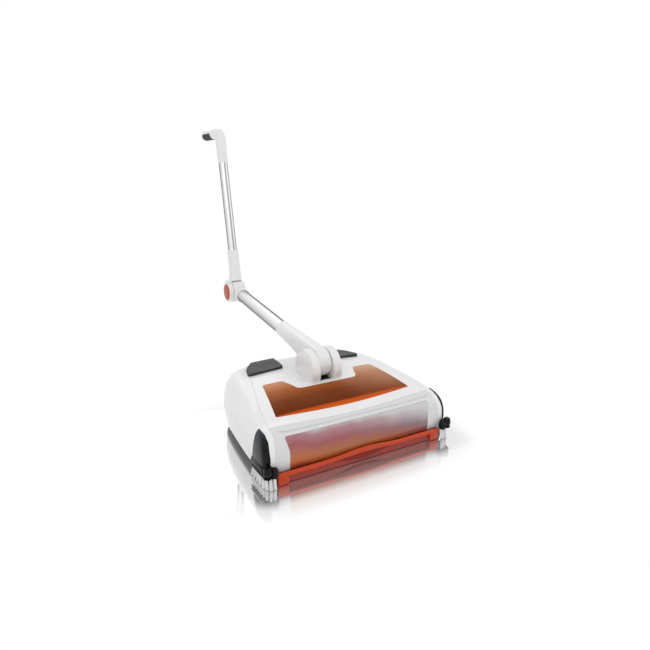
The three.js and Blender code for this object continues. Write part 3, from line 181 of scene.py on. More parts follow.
DARK_EDGE = (0.03, 0.03, 0.035, 1)
# Painted reflection bands across a tube: a place across it, and how far the colour darkens there.
PAINTED_TUBE_REFLECTIONS = [(0.02, 0.5), (0.12, 0), (0.4, 0), (0.48, 1), (0.6, 0.5), (0.72, 0), (0.84, 0.5), (0.97, 0.5)]
GRAIN = Sizes(broad=14, peel=700, shift=0.004, spread=0.15, depth=0.0002)
WINDOW_ACROSS = (-40, 120)
LID_ACROSS = (10, 100)
LID_ALONG = (44, 146)
# Where the corner guard's painted sheen starts and ends along Y.
GUARD_PAINTED_SHEEN = (8, 50)
COAT = {"coat_weight": 0.15, "coat_roughness": 0.3}

POLE_FRAME = Matrix.Translation((0, PIVOT.y, PIVOT.z)) @ Matrix.Rotation(POLE_TILT, 4, "X")
ELBOW_FRAME = POLE_FRAME @ Matrix.Translation((0, POLE.elbow, POLE.axis)) @ Matrix.Rotation(BEND, 4, "X")
OWN_FRAMES = {"lower_pole": POLE_FRAME, "upper_pole": ELBOW_FRAME, "lock_button": ELBOW_FRAME}


# Materials

def shader(name, colour, roughness, **inputs):
    """A Principled material. Each input is a socket's name in lower case with underscores."""
    material = bpy.data.materials.new(name)
    material.use_nodes = True
    principled = material.node_tree.nodes["Principled BSDF"]
    principled.inputs["Base Color"].default_value = (*colour, 1)
    principled.inputs["Roughness"].default_value = roughness
    for key, value in inputs.items():
        principled.inputs[key.replace("_", " ").title().replace("Ior", "IOR")].default_value = value
    return material, material.node_tree, principled


def mix(start, end, share):
    return start + (end - start) * share


def mixed(starts, ends, share):
    return tuple(mix(start, end, share) for start, end in zip(starts, ends))


def add_node(tree, kind, **settings):
    node = tree.nodes.new("ShaderNode" + kind)
    for key, value in settings.items():
        if key in node.inputs:
            node.inputs[key].default_value = value
        else:
            setattr(node, key, value)
    return node


def object_noise(tree, scale, detail=3, stretch=(1, 1, 1)):
    coords = add_node(tree, "TexCoord")
    mapping = add_node(tree, "Mapping", Scale=stretch)
    noise = add_node(tree, "TexNoise", Scale=scale, Detail=detail)
    tree.links.new(coords.outputs["Object"], mapping.inputs["Vector"])
    tree.links.new(mapping.outputs["Vector"], noise.inputs["Vector"])
    return noise.outputs["Fac"]


def ramp(tree, value, *stops):
    """A colour ramp. Each stop is its place, then red, green and blue."""
    node = add_node(tree, "ValToRGB")
    elements = node.color_ramp.elements
    while len(elements) < len(stops):
        elements.new(0.5)
    for element, (spot, *colour) in zip(elements, stops):
        element.position = spot
        element.color = (*colour, 1)
    tree.links.new(value, node.inputs["Fac"])
    return node.outputs["Color"]


def bump(tree, principled, height, strength, distance):
    node = add_node(tree, "Bump", Strength=strength, Distance=distance)
    tree.links.new(height, node.inputs["Height"])
    tree.links.new(node.outputs["Normal"], principled.inputs["Normal"])


def spread(tree, value, low, top, first=0, last=1, **settings):
    """Takes a value's span from low to top over to another span."""
    node = add_node(tree, "MapRange", **settings)
    for socket, number in (("From Min", low), ("From Max", top), ("To Min", first), ("To Max", last)):
        node.inputs[socket].default_value = number
    tree.links.new(value, node.inputs["Value"])
    return node.outputs["Result"]


def vary_roughness(tree, principled, value, low, top):
    tree.links.new(spread(tree, value, 0, 1, low, top), principled.inputs["Roughness"])


def coordinates(tree, kind="Object"):
    coords = add_node(tree, "TexCoord")
    parts = add_node(tree, "SeparateXYZ")
    tree.links.new(coords.outputs[kind], parts.inputs["Vector"])
    return parts.outputs


def math_node(tree, operation, first, second=0):
    node = add_node(tree, "Math", operation=operation)
    for socket, value in zip(node.inputs, (first, second)):
        if isinstance(value, (int, float)):
            socket.default_value = value
        else:
            tree.links.new(value, socket)
    return node.outputs[0]


def blend(tree, low, top, axis="Z", tip=0):
    """0 at one place along an axis and 1 at another, in the drawing. tip lowers the places to the right."""
    parts = coordinates(tree)
    value = parts[axis]
    if tip:
        value = math_node(tree, "ADD", math_node(tree, "MULTIPLY", parts["X"], tip), value)
    shift = SHIFT if axis == "Y" else 0
    return spread(tree, value, low * MM + shift, top * MM + shift)


def moulded(name, colour, roughness, grain=0.02, specular=0.5, **inputs):
    """Moulded plastic: a faint large-scale shift of colour, a spread of roughness and a fine orange peel."""
    material, tree, principled = shader(name, colour, roughness, specular_ior_level=specular, **inputs)
    broad = object_noise(tree, GRAIN.broad, 2)
    pale = tuple(min(1, c * (1 + GRAIN.shift)) for c in colour)
    deep = tuple(c * (1 - GRAIN.shift) for c in colour)
    tree.links.new(ramp(tree, broad, (0.3, *deep), (0.7, *pale)), principled.inputs["Base Color"])
    vary_roughness(tree, principled, broad, roughness * (1 - GRAIN.spread), roughness * (1 + GRAIN.spread))
    bump(tree, principled, object_noise(tree, GRAIN.peel, 2), grain, GRAIN.depth)
    return material


def brushed_metal(name, colour, roughness, stretch, radius=0, reflection_dark_share=1):
    """Drawn metal: fine streaks, and for a tube painted reflection bands along it, dark where a studio would
    leave dark reflections.
    """
    material, tree, principled = shader(name, colour, roughness, metallic=1, specular_tint=DARK_EDGE)
    streaks = object_noise(tree, STREAKS.scale, STREAKS.detail, stretch)
    if radius:
        # Painted reflections: the tube's colour darkens in bands across it, as a studio's reflections would.
        stops = [(spot, *(c * reflection_dark_share ** depth for c in colour)) for spot, depth in PAINTED_TUBE_REFLECTIONS]
        painted_reflections = ramp(tree, blend(tree, -radius, radius, "X"), *stops)
        tree.links.new(painted_reflections, principled.inputs["Base Color"])
    vary_roughness(tree, principled, streaks, roughness * STREAKS.smooth, roughness * STREAKS.rough)
    bump(tree, principled, streaks, STREAKS.relief, STREAKS.depth)
    return material


def mix_colour(tree, share, first, second):
    node = add_node(tree, "Mix", data_type="RGBA")
    tree.links.new(share, node.inputs[0])
    tree.links.new(first, node.inputs[6])
    tree.links.new(second, node.inputs[7])
    return node.outputs[2]


def clouded(tree, value, share):
    clouds = math_node(tree, "SUBTRACT", object_noise(tree, CLOUDS.scale, 3, CLOUDS.stretch), 0.5)
    return math_node(tree, "ADD", value, math_node(tree, "MULTIPLY", clouds, share))


def window_material():
    """Clear pane with painted light: a painted silver reflection along its top, mauve below where that
    reflection meets the orange of the brush behind, orange low on its left, and dusky painted shade on its
    right.
    """
    material, tree, principled = shader(
        "clear_window_painted_light", (0.8, 0.8, 0.82), 0.22, transmission_weight=0.3, ior=1.46, specular_ior_level=0.35,
    )
    rise = clouded(tree, blend(tree, 0, PANE.top, "Z", WINDOW_TIP), CLOUDS.window)
    # Painted reflection at the top and painted shade on the right, set in the base colour.
    left = ramp(
        tree, rise, (0.2, 0.42, 0.07, 0.05), (0.32, 0.64, 0.17, 0.04), (0.46, 0.58, 0.2, 0.08),
        (0.7, 0.44, 0.13, 0.14), (0.9, 0.52, 0.27, 0.3), (1, 0.7, 0.67, 0.68),
    )
    right = ramp(
        tree, rise, (0.2, 0.3, 0.05, 0.05), (0.34, 0.58, 0.14, 0.05), (0.5, 0.4, 0.13, 0.13),
        (0.66, 0.33, 0.25, 0.28), (0.82, 0.56, 0.53, 0.56), (1, 0.76, 0.75, 0.75),
    )
    across = blend(tree, *WINDOW_ACROSS, "X")
    tree.links.new(mix_colour(tree, across, left, right), principled.inputs["Base Color"])
    vary_roughness(tree, principled, object_noise(tree, 40, 2), 0.2, 0.28)
    return material


def guard_material():
    """Gloss black, with a painted grey sheen towards its heel: a painted reflection set in the base colour.
    """
    material, tree, principled = shader("gloss_guard", (0.01, 0.01, 0.01), 0.2, specular_ior_level=0.16)
    along = blend(tree, *GUARD_PAINTED_SHEEN, "Y")
    # Painted sheen: the base colour turns grey towards the heel, where the lit side reflects.
    painted_sheen = ramp(tree, along, (0.2, 0.004, 0.004, 0.005), (0.75, 0.05, 0.056, 0.06), (1, 0.06, 0.066, 0.07))
    tree.links.new(painted_sheen, principled.inputs["Base Color"])
    bump(tree, principled, object_noise(tree, GRAIN.peel, 2), 0.01, GRAIN.depth)
    return material


def lid_material():
    """Smoked orange lid: a bright rim along its front, dark in the middle, paler at the back."""
    material, tree, principled = shader(
        "smoked_lid", (0.45, 0.14, 0.03), 0.1, transmission_weight=0.02, ior=1.49, specular_ior_level=0.03,
    )
    along = blend(tree, *LID_ALONG, "Y")
    left = ramp(
        tree, along, (0.03, 0.6, 0.09, 0.006), (0.1, 0.5, 0.07, 0.004), (0.13, 0.13, 0.024, 0.002),
        (0.4, 0.18, 0.038, 0.005), (0.7, 0.36, 0.1, 0.025), (0.95, 0.56, 0.24, 0.12),
    )
    right = ramp(
        tree, along, (0.03, 0.6, 0.1, 0.01), (0.11, 0.5, 0.09, 0.01), (0.14, 0.24, 0.06, 0.018),
        (0.4, 0.36, 0.15, 0.08), (0.7, 0.46, 0.22, 0.12), (0.95, 0.6, 0.36, 0.22),
    )
    across = clouded(tree, blend(tree, *LID_ACROSS, "X"), CLOUDS.lid)
    tree.links.new(mix_colour(tree, across, left, right), principled.inputs["Base Color"])
    vary_roughness(tree, principled, object_noise(tree, 60, 2), 0.06, 0.11)
    return material


MATERIALS = {
    "white": moulded("gloss_white", (0.77, 0.76, 0.76), 0.28, 0.004, **COAT),
    "charcoal": moulded("satin_charcoal", (0.028, 0.029, 0.033), 0.45, 0.08, 0.3),
    "black": moulded("satin_black", (0.012, 0.012, 0.014), 0.3, 0.03, 0.3),
    "gloss_black": moulded("gloss_black", (0.005, 0.005, 0.006), 0.18, 0.01, 0.16),
    "guard": guard_material(),
    "frost": moulded("frosted_surround", (0.71, 0.715, 0.71), 0.3, 0.004, transmission_weight=0.1, **COAT),
    "orange": moulded("gloss_orange", (0.45, 0.06, 0.02), 0.3, 0.01, 0.2),
    "grey": moulded("matte_grey", (0.27, 0.27, 0.28), 0.5, 0.1),
    "soft": moulded("soft_grip", (0.022, 0.022, 0.025), 0.6, 0.3, 0.25),
    "rubber": moulded("black_rubber", (0.02, 0.02, 0.021), 0.7, 0.25),
    "board": moulded("green_board", (0.03, 0.14, 0.06), 0.4),
    "cells": moulded("blue_wrap", (0.05, 0.1, 0.22), 0.35),
    "bristle": moulded("white_nylon", (0.86, 0.86, 0.87), 0.4),
    "brush_orange": moulded("orange_nylon", (0.75, 0.2, 0.03), 0.5),
    "lip": moulded("amber_lip", (0.55, 0.05, 0.006), 0.16, 0.01, 0.3, transmission_weight=0.1),
    # Dark mauve for the clear lower front behind the lip, its colour darkened as painted shade.
    "lip_painted_shade": moulded("amber_painted_shade", (0.36, 0.06, 0.045), 0.2, 0.01, 0.2),
    # The skirt's own red plastic, darkened as painted shadow under the lip.
    "lip_painted_shadow": moulded("red_painted_shadow", (0.22, 0.018, 0.006), 0.2, 0.01, 0.25),
    "tray": moulded("amber_tray", (0.5, 0.12, 0.02), 0.25, transmission_weight=0.3),
    # Both tubes carry painted reflection bands in their base colour.
    "silver": brushed_metal("anodised_tube", (0.97, 0.96, 0.97), 0.26, (8, 1, 1), POLE.tube_radius, 0.72),
    "silver_thin": brushed_metal(
        "anodised_thin_tube", (0.8, 0.79, 0.8), 0.26, (8, 1, 1), UPPER.tube_radius, 0.36,
    ),
    "steel": brushed_metal("bright_steel", (0.55, 0.56, 0.58), 0.3, (1, 1, 6)),
    "window": window_material(),
    "lid": lid_material(),
}


# Mesh helpers

def new_object(data, name="form"):
    obj = bpy.data.objects.new(name, data)
    scene.collection.objects.link(obj)
    return obj


def to_object(bm, weld=True):
    if weld:
        bmesh.ops.remove_doubles(bm, verts=bm.verts, dist=WELD)
    bmesh.ops.recalc_face_normals(bm, faces=bm.faces)
    mesh = bpy.data.meshes.new("form")
    bm.to_mesh(mesh)
    bm.free()
    return new_object(mesh)


def add_skin(bm, rings, hub=False):
    """A closed skin over rings of equally many points. With hub, the last ring closes as a fan."""
    rows = [[bm.verts.new(p) for p in ring] for ring in rings]
    for low, top in zip(rows, rows[1:]):
        for i, a in enumerate(low):
            j = (i + 1) % len(low)
            bm.faces.new((a, low[j], top[j], top[i]))
    bm.faces.new(rows[0][::-1])
    if hub:
        centre = bm.verts.new(sum((Vector(p) for p in rings[-1]), Vector()) / len(rings[-1]))
        for i, a in enumerate(rows[-1]):
            bm.faces.new((a, rows[-1][(i + 1) % len(rows[-1])], centre))
    else:
        bm.faces.new(rows[-1])


def loft(rings, hub=False):
    bm = bmesh.new()
    add_skin(bm, rings, hub)
    return to_object(bm)


def prism(outline, low, top, axis="z"):
    """The outline is (x, y), (y, z) or (x, z), and runs between two places on the third axis."""
    order = {"x": (2, 0, 1), "y": (0, 2, 1), "z": (0, 1, 2)}[axis]
    return loft([[Vector([(*point, w)[i] for i in order]) for point in outline] for w in (low, top)])


def block(x0, x1, y0, y1, z0, z1):
    return prism([(x0, y0), (x1, y0), (x1, y1), (x0, y1)], z0, z1)


def lathe(profile, axis="x", centre=(0, 0, 0), steps=FINE.lathe):
    """A form turned about a line parallel to an axis. The profile is (along, radius)."""
    bm = bmesh.new()
    points = []
    for along, radius in profile:
        ring = []
        for i in range(steps if radius > TINY else 1):
            angle = tau * i / steps
            c, s = radius * cos(angle), radius * sin(angle)
            p = {"x": (along, c, s), "y": (s, along, c), "z": (c, s, along)}[axis]
            ring.append(bm.verts.new(Vector(p) + Vector(centre)))
        points.append(ring)
    pairs = list(zip(points, points[1:]))
    if profile[0][1] > TINY and profile[-1][1] > TINY:
        pairs.append((points[-1], points[0]))
    for low, top in pairs:
        for i in range(steps):
            j = (i + 1) % steps
            corners = [low[i % len(low)], low[j % len(low)], top[j % len(top)], top[i % len(top)]]
            face = list(dict.fromkeys(corners))
            if len(face) > 2:
                bm.faces.new(face)
    return to_object(bm)


def rod(
        low, top, radius, axis="x", centre=(0, 0, 0), steps=FINE.lathe, edges=(0, 0),
        edge_steps=FINE.corner_steps):
    """A closed cylinder between two places along an axis. edges are the radii of its low and top edge."""
    profile = [(low, 0), (low, radius), (top, radius), (top, 0)]
    return lathe(rounded(profile, (0, *edges, 0), edge_steps), axis, centre, steps)


def quarter(steps, first=0):
    """The angles of a quarter turn in so many steps, from the first one on."""
    return [k / steps * pi / 2 for k in range(first, steps + 1)]


def rounded(outline, radii, steps=FINE.corner_steps):
    """A polygon with its corners rounded. radii is one radius, or one for each corner."""
    corners = [Vector(p) for p in outline]
    radii = radii if isinstance(radii, (list, tuple)) else [radii] * len(corners)
    result = []
    for i, corner in enumerate(corners):
        before = corners[i - 1] - corner
        after = corners[(i + 1) % len(corners)] - corner
        half = before.angle(after) / 2
        reach = min(radii[i] / tan(half), MOST_ROUND_SHARE * min(before.length, after.length))
        start = corner + before.normalized() * reach
        end = corner + after.normalized() * reach
        if reach < LEAST_ROUND:
            result.append(corner)
            continue
        for k in range(steps + 1):
            t = k / steps
            result.append(start.lerp(corner, t).lerp(corner.lerp(end, t), t))
    return result


def spline(points, steps):
    """Catmull-Rom through vectors, open."""
    pts = [Vector(p) for p in points]
    result = []
    for i in range(len(pts) - 1):
        p0, p1, p2, p3 = pts[max(i - 1, 0)], pts[i], pts[i + 1], pts[min(i + 2, len(pts) - 1)]
        for k in range(steps):
            t = k / steps
            a = 2 * p1
            b = (p2 - p0) * t
            c = (2 * p0 - 5 * p1 + 4 * p2 - p3) * t ** 2
            d = (3 * p1 - p0 - 3 * p2 + p3) * t ** 3
            result.append((a + b + c + d) / 2)
    result.append(pts[-1])
    return result


def combine(obj, tool, operation):
    modifier = obj.modifiers.new("join", "BOOLEAN")
    modifier.operation = operation
    modifier.solver = "MANIFOLD"
    modifier.object = tool
    apply_modifiers(obj)
    bpy.data.objects.remove(tool)
    return obj


def cut(obj, *tools):
    for tool in tools:
        combine(obj, tool, "DIFFERENCE")
    return obj


def joined(obj, *others):
    for other in others:
        combine(obj, other, "UNION")
    return obj


def within(obj, tool):
    return combine(obj, tool, "INTERSECT")


def apply_modifiers(obj):
    evaluated = obj.evaluated_get(bpy.context.evaluated_depsgraph_get())
    mesh = bpy.data.meshes.new_from_object(evaluated)
    obj.modifiers.clear()
    old = obj.data
    obj.data = mesh
    bpy.data.meshes.remove(old)


def copy_of(obj):
    return new_object(obj.data.copy())


def both_halves(points):
    """The right-hand points of an outline, then their mirror images on the way back."""
    return points + [(-x, y) for x, y in reversed(points)]


def mirrored(obj):
    twin = copy_of(obj)
    twin.data.transform(Matrix.Scale(-1, 4, (1, 0, 0)))
    twin.data.flip_normals()
    return twin


def bevelled(obj, width, segments=3, angle=30):
    modifier = obj.modifiers.new("edge", "BEVEL")
    modifier.width = width
    modifier.segments = segments
    modifier.limit_method = "ANGLE"
    modifier.angle_limit = radians(angle)
    apply_modifiers(obj)
    return obj


def form_normals(mesh, form):
    """Gives the faces that lie on a form its own smooth normals, so that the cuts leave no marks."""
    skin = bmesh.new()
    skin.from_mesh(form.data)
    bpy.data.objects.remove(form)
    bmesh.ops.triangulate(skin, faces=skin.faces)
    skin.normal_update()
    skin.faces.ensure_lookup_table()
    tree = BVHTree.FromBMesh(skin)
    back = TO_ROW.inverted()
    smooth = []
    for vertex in mesh.vertices:
        near, _, index, distance = tree.find_nearest(back @ vertex.co)
        corners = skin.faces[index].verts
        weights = poly_3d_calc([corner.co for corner in corners], near)
        normal = sum((corner.normal * weight for corner, weight in zip(corners, weights)), Vector())
        smooth.append(normal.normalized() if distance < ON_FORM else Vector())
    skin.free()
    normals = [corner.vector.copy() for corner in mesh.corner_normals]
    for face in mesh.polygons:
        for loop in face.loop_indices:
            normal = smooth[mesh.loops[loop].vertex_index]
            if normal.dot(face.normal) > FACES_FORM:
                normals[loop] = normal
    mesh.normals_split_custom_set(normals)


def place(obj, name, body, material, slot, *nodes, angle=30, inset=None):
    """Moves a finished mesh to the frame, shades it, and makes it stand for CAD nodes on a body. A piece of
    the head's skin gives its inset, to take on the smooth normals of the whole form."""
    obj.name = name
    mesh = obj.data
    mesh.transform(TO_ROW @ OWN_FRAMES.get(body, Matrix()))
    mesh.shade_smooth()
    mesh.set_sharp_from_angle(angle=radians(angle))
    if inset is not None:
        form_normals(mesh, head_form(inset, HEAD.bottom))
    mesh.materials.clear()
    mesh.materials.append(MATERIALS[material])
    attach(obj, body)
    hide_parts(*nodes)


def place_sides(obj, name, body, material, slot, node):
    """Places a right-hand piece and its mirror image. {} in the body's name stands for the side."""
    for side, piece in (("left", mirrored(obj)), ("right", obj)):
        place(piece, f"{name}_{side}", body.format(side), material, slot, f"{node}_{side}")


# Head form

def top_height(x, y):
    along = (y - HEAD.crest_y) / (SEAM.y - HEAD.crest_y)
    across = abs(x) / HEAD.half_width
    fall = (HEAD.crest - HEAD.seam_top) * along ** 2
    return HEAD.crest - fall - HEAD.crown * across ** HEAD.crown_power


def plan_point(share):
    return Vector((share[0] * HEAD.half_width, HEAD.front + share[1] * HEAD.depth))


def plan_loop(shares):
    half = spline([plan_point(s) for s in shares], FINE.per_key)
    return half + [Vector((-p.x, p.y)) for p in half[-2:0:-1]]


WALL_LOOP = plan_loop(WALL_SHARES)
SHOULDER_LOOP = plan_loop(SHOULDER_SHARES)


def inset_loop(loop, inset):
    result = []
    for i, p in enumerate(loop):
        along = (loop[(i + 1) % len(loop)] - loop[i - 1]).normalized()
        result.append(Vector((p.x - along.y * inset, p.y + along.x * inset)))
    return result


def head_form(inset, bottom):
    wall = inset_loop(WALL_LOOP, inset)
    lean = HEAD.draft * (HEAD.belt - bottom) / (HEAD.belt - HEAD.bottom)
    rings = [[Vector((*p, bottom)) for p in inset_loop(WALL_LOOP, inset + lean)]]
    rings.append([Vector((*p, HEAD.belt)) for p in wall])
    for angle in quarter(FINE.arc_steps, 1):
        share = 1 - max(cos(angle), 0) ** (2 / HEAD.power)
        rise = sin(angle) ** (2 / HEAD.power)
        ring = []
        for p, s in zip(wall, SHOULDER_LOOP):
            top = top_height(s.x, s.y) - inset
            ring.append(Vector((*p.lerp(s, share), HEAD.belt + (top - HEAD.belt) * rise)))
        rings.append(ring)
    centre = Vector((0, HEAD.front + HEAD.depth * HEAD.centre_share))
    for k in range(1, FINE.cap_steps):
        spots = [centre.lerp(s, 1 - k / FINE.cap_steps) for s in SHOULDER_LOOP]
        rings.append([Vector((*p, top_height(p.x, p.y) - inset)) for p in spots])
    return loft(rings, hub=True)


def shell_form():
    return cut(head_form(0, HEAD.bottom), head_form(HEAD.wall, HEAD.bottom - OVERRUN))


def bowed(half, y, bow, steps):
    """A line across, from -half to half, that runs forward by bow in its middle."""
    places = [2 * i / steps - 1 for i in range(steps + 1)]
    return [(across * half, y - bow * (1 - across ** 2)) for across in places]


def seam_line(shift):
    return bowed(SEAM.half_width, SEAM.y + shift, SEAM.bow, FINE.seam_steps)


def panel_plan(inset):
    side = spline([plan_point(s) for s in PANEL_SIDE_SHARES[:-1]], FINE.per_key)
    back = plan_point(PANEL_SIDE_SHARES[-1])
    right = [(p.x - inset, p.y) for p in side] + [(back.x - inset, back.y - inset)]
    front = [(x - copysign(inset, x) if x else x, y) for x, y in seam_line(inset)]
    return front + both_halves(right)


def front_space(inset):
    face = both_halves([(x - inset, z) for x, z in FRONT_FACE])
    back = SEAM.y - inset
    plan = [(-WIDE, -WIDE), (WIDE, -WIDE), (WIDE, back), *seam_line(-inset)[::-1], (-WIDE, back)]
    return within(prism(plan, 0, HIGH), prism(face, -WIDE, WIDE, "y"))


def lid_plan(inset):
    steps = FINE.seam_steps // 2
    front = bowed(LID.front_half - inset, LID.front_y + inset, LID.bow, steps)
    back_y = LID.back_y - inset
    right = [(LID.back_half - inset, back_y), (LID.notch_back + inset, back_y)]
    for angle in quarter(FINE.corner_steps):
        x = LID.notch_front + inset - LID.notch_corner * (1 - cos(angle))
        right.append((x, LID.notch_y - inset + LID.notch_corner * (1 - sin(angle))))
    outline = front + both_halves(right)
    radii = [0] * len(outline)
    radii[0] = radii[steps] = LID.front_corner
    for i in (steps + 1, steps + 2, len(outline) - 2, len(outline) - 1):
        radii[i] = LID.corner
    return rounded(outline, radii)


PEDAL_CORNERS = [plan_point(s) for s in PEDAL_SHARES]
PEDAL_MIDDLE = sum(PEDAL_CORNERS, Vector((0, 0))) / len(PEDAL_CORNERS)


def pedal_plan(outset):
    moved = [p + (p - PEDAL_MIDDLE).normalized() * outset for p in PEDAL_CORNERS]
    return rounded(moved, PEDAL.corner * (PEDAL.clear_round if outset else 1))


def bracket_space(clearance):
    side = CHEEK.outer + CHEEK.dome + clearance
    reach = CHEEK.radius + clearance
    return rod(-side, side, reach, "x", (0, CHEEK.y, CHEEK.z))


def make_head():
    shell = shell_form()
    housing = copy_of(shell)
    cut(housing, front_space(0), prism(panel_plan(0), HEAD.belt, HIGH))
    pedal_space = prism(pedal_plan(PEDAL.clear), HEAD.belt, HIGH)
    low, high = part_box("charge_socket")
    centre = ((low.x + high.x) / 2 / MM, 0, (low.z + high.z) / 2 / MM)
    inlet = rod(HEAD.crest_y, 2 * HIGH, INLET_RADIUS + GAP, "y", centre)
    cut(housing, mirrored(pedal_space), pedal_space, inlet)
    place(housing, "head_housing", "head", "white", "white", "housing", inset=0)

    panel = within(copy_of(shell), prism(panel_plan(GAP), HEAD.belt, HIGH))
    cut(panel, prism(lid_plan(0), HEAD.belt, HIGH), bracket_space(GAP / 4))
    place(panel, "top_deck", "head", "white", "white", "top_panel", inset=0)

    front = within(copy_of(shell), front_space(GAP))
    within(front, block(-WIDE, WIDE, -WIDE, SEAM.y + HEAD.wall, FRONT_BOTTOM, HIGH))
    cut(front, prism(pane_face(0), -WIDE, SEAM.y, "y"))
    skin = cut(head_form(-GAP, HEAD.bottom), head_form(GROOVE.deep, 0))
    line = block(-GROOVE.half, GROOVE.half, -WIDE, SEAM.y, GROOVE.low, GROOVE.low + GROOVE.width)
    tab = block(GROOVE.tab, GROOVE.half, -WIDE, SEAM.y, GROOVE.tab_low, GROOVE.tab_top)
    joined(line, mirrored(tab), tab)
    cut(front, within(skin, line))
    place(front, "front_surround", "head", "frost", "white", "window_frame", inset=0)
    bpy.data.objects.remove(shell)


def pane_face(inset):
    low = FRONT_BOTTOM if inset else FRONT_BOTTOM - OVERRUN
    half = [
        (PANE.low_half - inset, low), (PANE.mid_half - inset, PANE.mid_height),
        (PANE.top_half - inset, PANE.top - inset),
    ]
    return rounded(both_halves(half), [0, 0, PANE.corner, PANE.corner, 0, 0])


def make_windows():
    pane = cut(head_form(0, HEAD.bottom), head_form(PANE.thick, 0))
    within(pane, prism(pane_face(GAP), -WIDE, SEAM.y, "y"))
    place(pane, "front_pane", "head", "window", "clear", "front_window", inset=0)

    lid = cut(head_form(LID.below, HEAD.bottom), head_form(LID.below + LID.thick, 0))
    within(lid, prism(lid_plan(GAP), HEAD.belt, HIGH))
    place(lid, "dust_lid", "dust_box", "lid", "amber", "dust_window", inset=LID.below)


def swell(x, reach):
    """1 in the middle, 0 from the given distance on."""
    return (1 + cos(pi * min(abs(x) / reach, 1))) / 2


def make_lip():
    band = []
    skirt = []
    for i in range(LIP.steps + 1):
        x = LIP.half_width * (2 * i / LIP.steps - 1)
        top = LIP.top + LIP.crest * swell(x, LIP.top_reach)
        edge = LIP.edge + LIP.arch * swell(x, LIP.edge_reach)
        bead = edge - LIP.bead
        outline = [
            (LIP.front, top), (LIP.front - LIP.brow, top - LIP.brow_drop), (LIP.nose, (top + edge) / 2),
            (LIP.nose, bead), (LIP.front, bead), (LIP.front, edge + LIP.band_lap),
        ]
        band.append([Vector((x, *point)) for point in rounded(outline, LIP.band_radii, 4)])
        low = LIP.skirt - LIP.drop * swell(x, LIP.skirt_reach)
        outline = [
            (LIP.back, LIP.skirt_top), (LIP.front - LIP.skirt_lap, LIP.skirt_top),
            (LIP.skirt_front - LIP.skirt_lean, low), (LIP.back, low + LIP.skirt_rise),
        ]
        skirt.append([Vector((x, *point)) for point in rounded(outline, LIP.skirt_radii, 3)])
    lip = loft(band)
    inner = LIP.half_width - LIP.foot_width
    foot = block(inner, LIP.half_width, LIP.foot_front, LIP.back, LIP.foot_bottom, LIP.shelf)
    bevelled(foot, LIP.foot_edge, 4)
    joined(lip, mirrored(foot), foot)
    place(lip, "front_bumper_lip", "head", "lip", "amber", "front_lip", angle=40)
    # A panel for the clear lower front behind the lip, coloured dark as painted shade.
    panel = block(-inner, inner, LIP.panel_front, LIP.back, LIP.foot_bottom, LIP.skirt_top)
    place(panel, "lip_panel", "head", "lip_painted_shade", "amber", "front_lip")
    # The skirt is red plastic, coloured darker as painted shadow under the lip.
    place(loft(skirt), "lip_skirt", "head", "lip_painted_shadow", "amber", "front_lip", angle=40)


# Corner guards, rollers and tufts

def leaf_outline():
    length = GUARD.heel_y - HEAD.front
    rise = GUARD.tip_height - GUARD.rail_top
    back = GUARD.heel_y - GUARD.tip_y
    rear = [(GUARD.tip_y + back * u, GUARD.rail_top + rise * v) for u, v in LEAF_REAR_SHARES]
    front = [(length * u, GUARD.rail_top + rise * v) for u, v in LEAF_FRONT_SHARES]
    tip = (GUARD.tip_y, GUARD.tip_height)
    rear_curve = spline([(GUARD.heel_y, GUARD.rail_top)] + rear[::-1] + [tip], FINE.per_key)
    front_curve = spline([tip] + front[::-1], FINE.per_key)
    foot = [(front[0][0], GUARD.rail_bottom), (GUARD.heel_y, GUARD.rail_bottom)]
    return rear_curve[:-1] + front_curve + foot


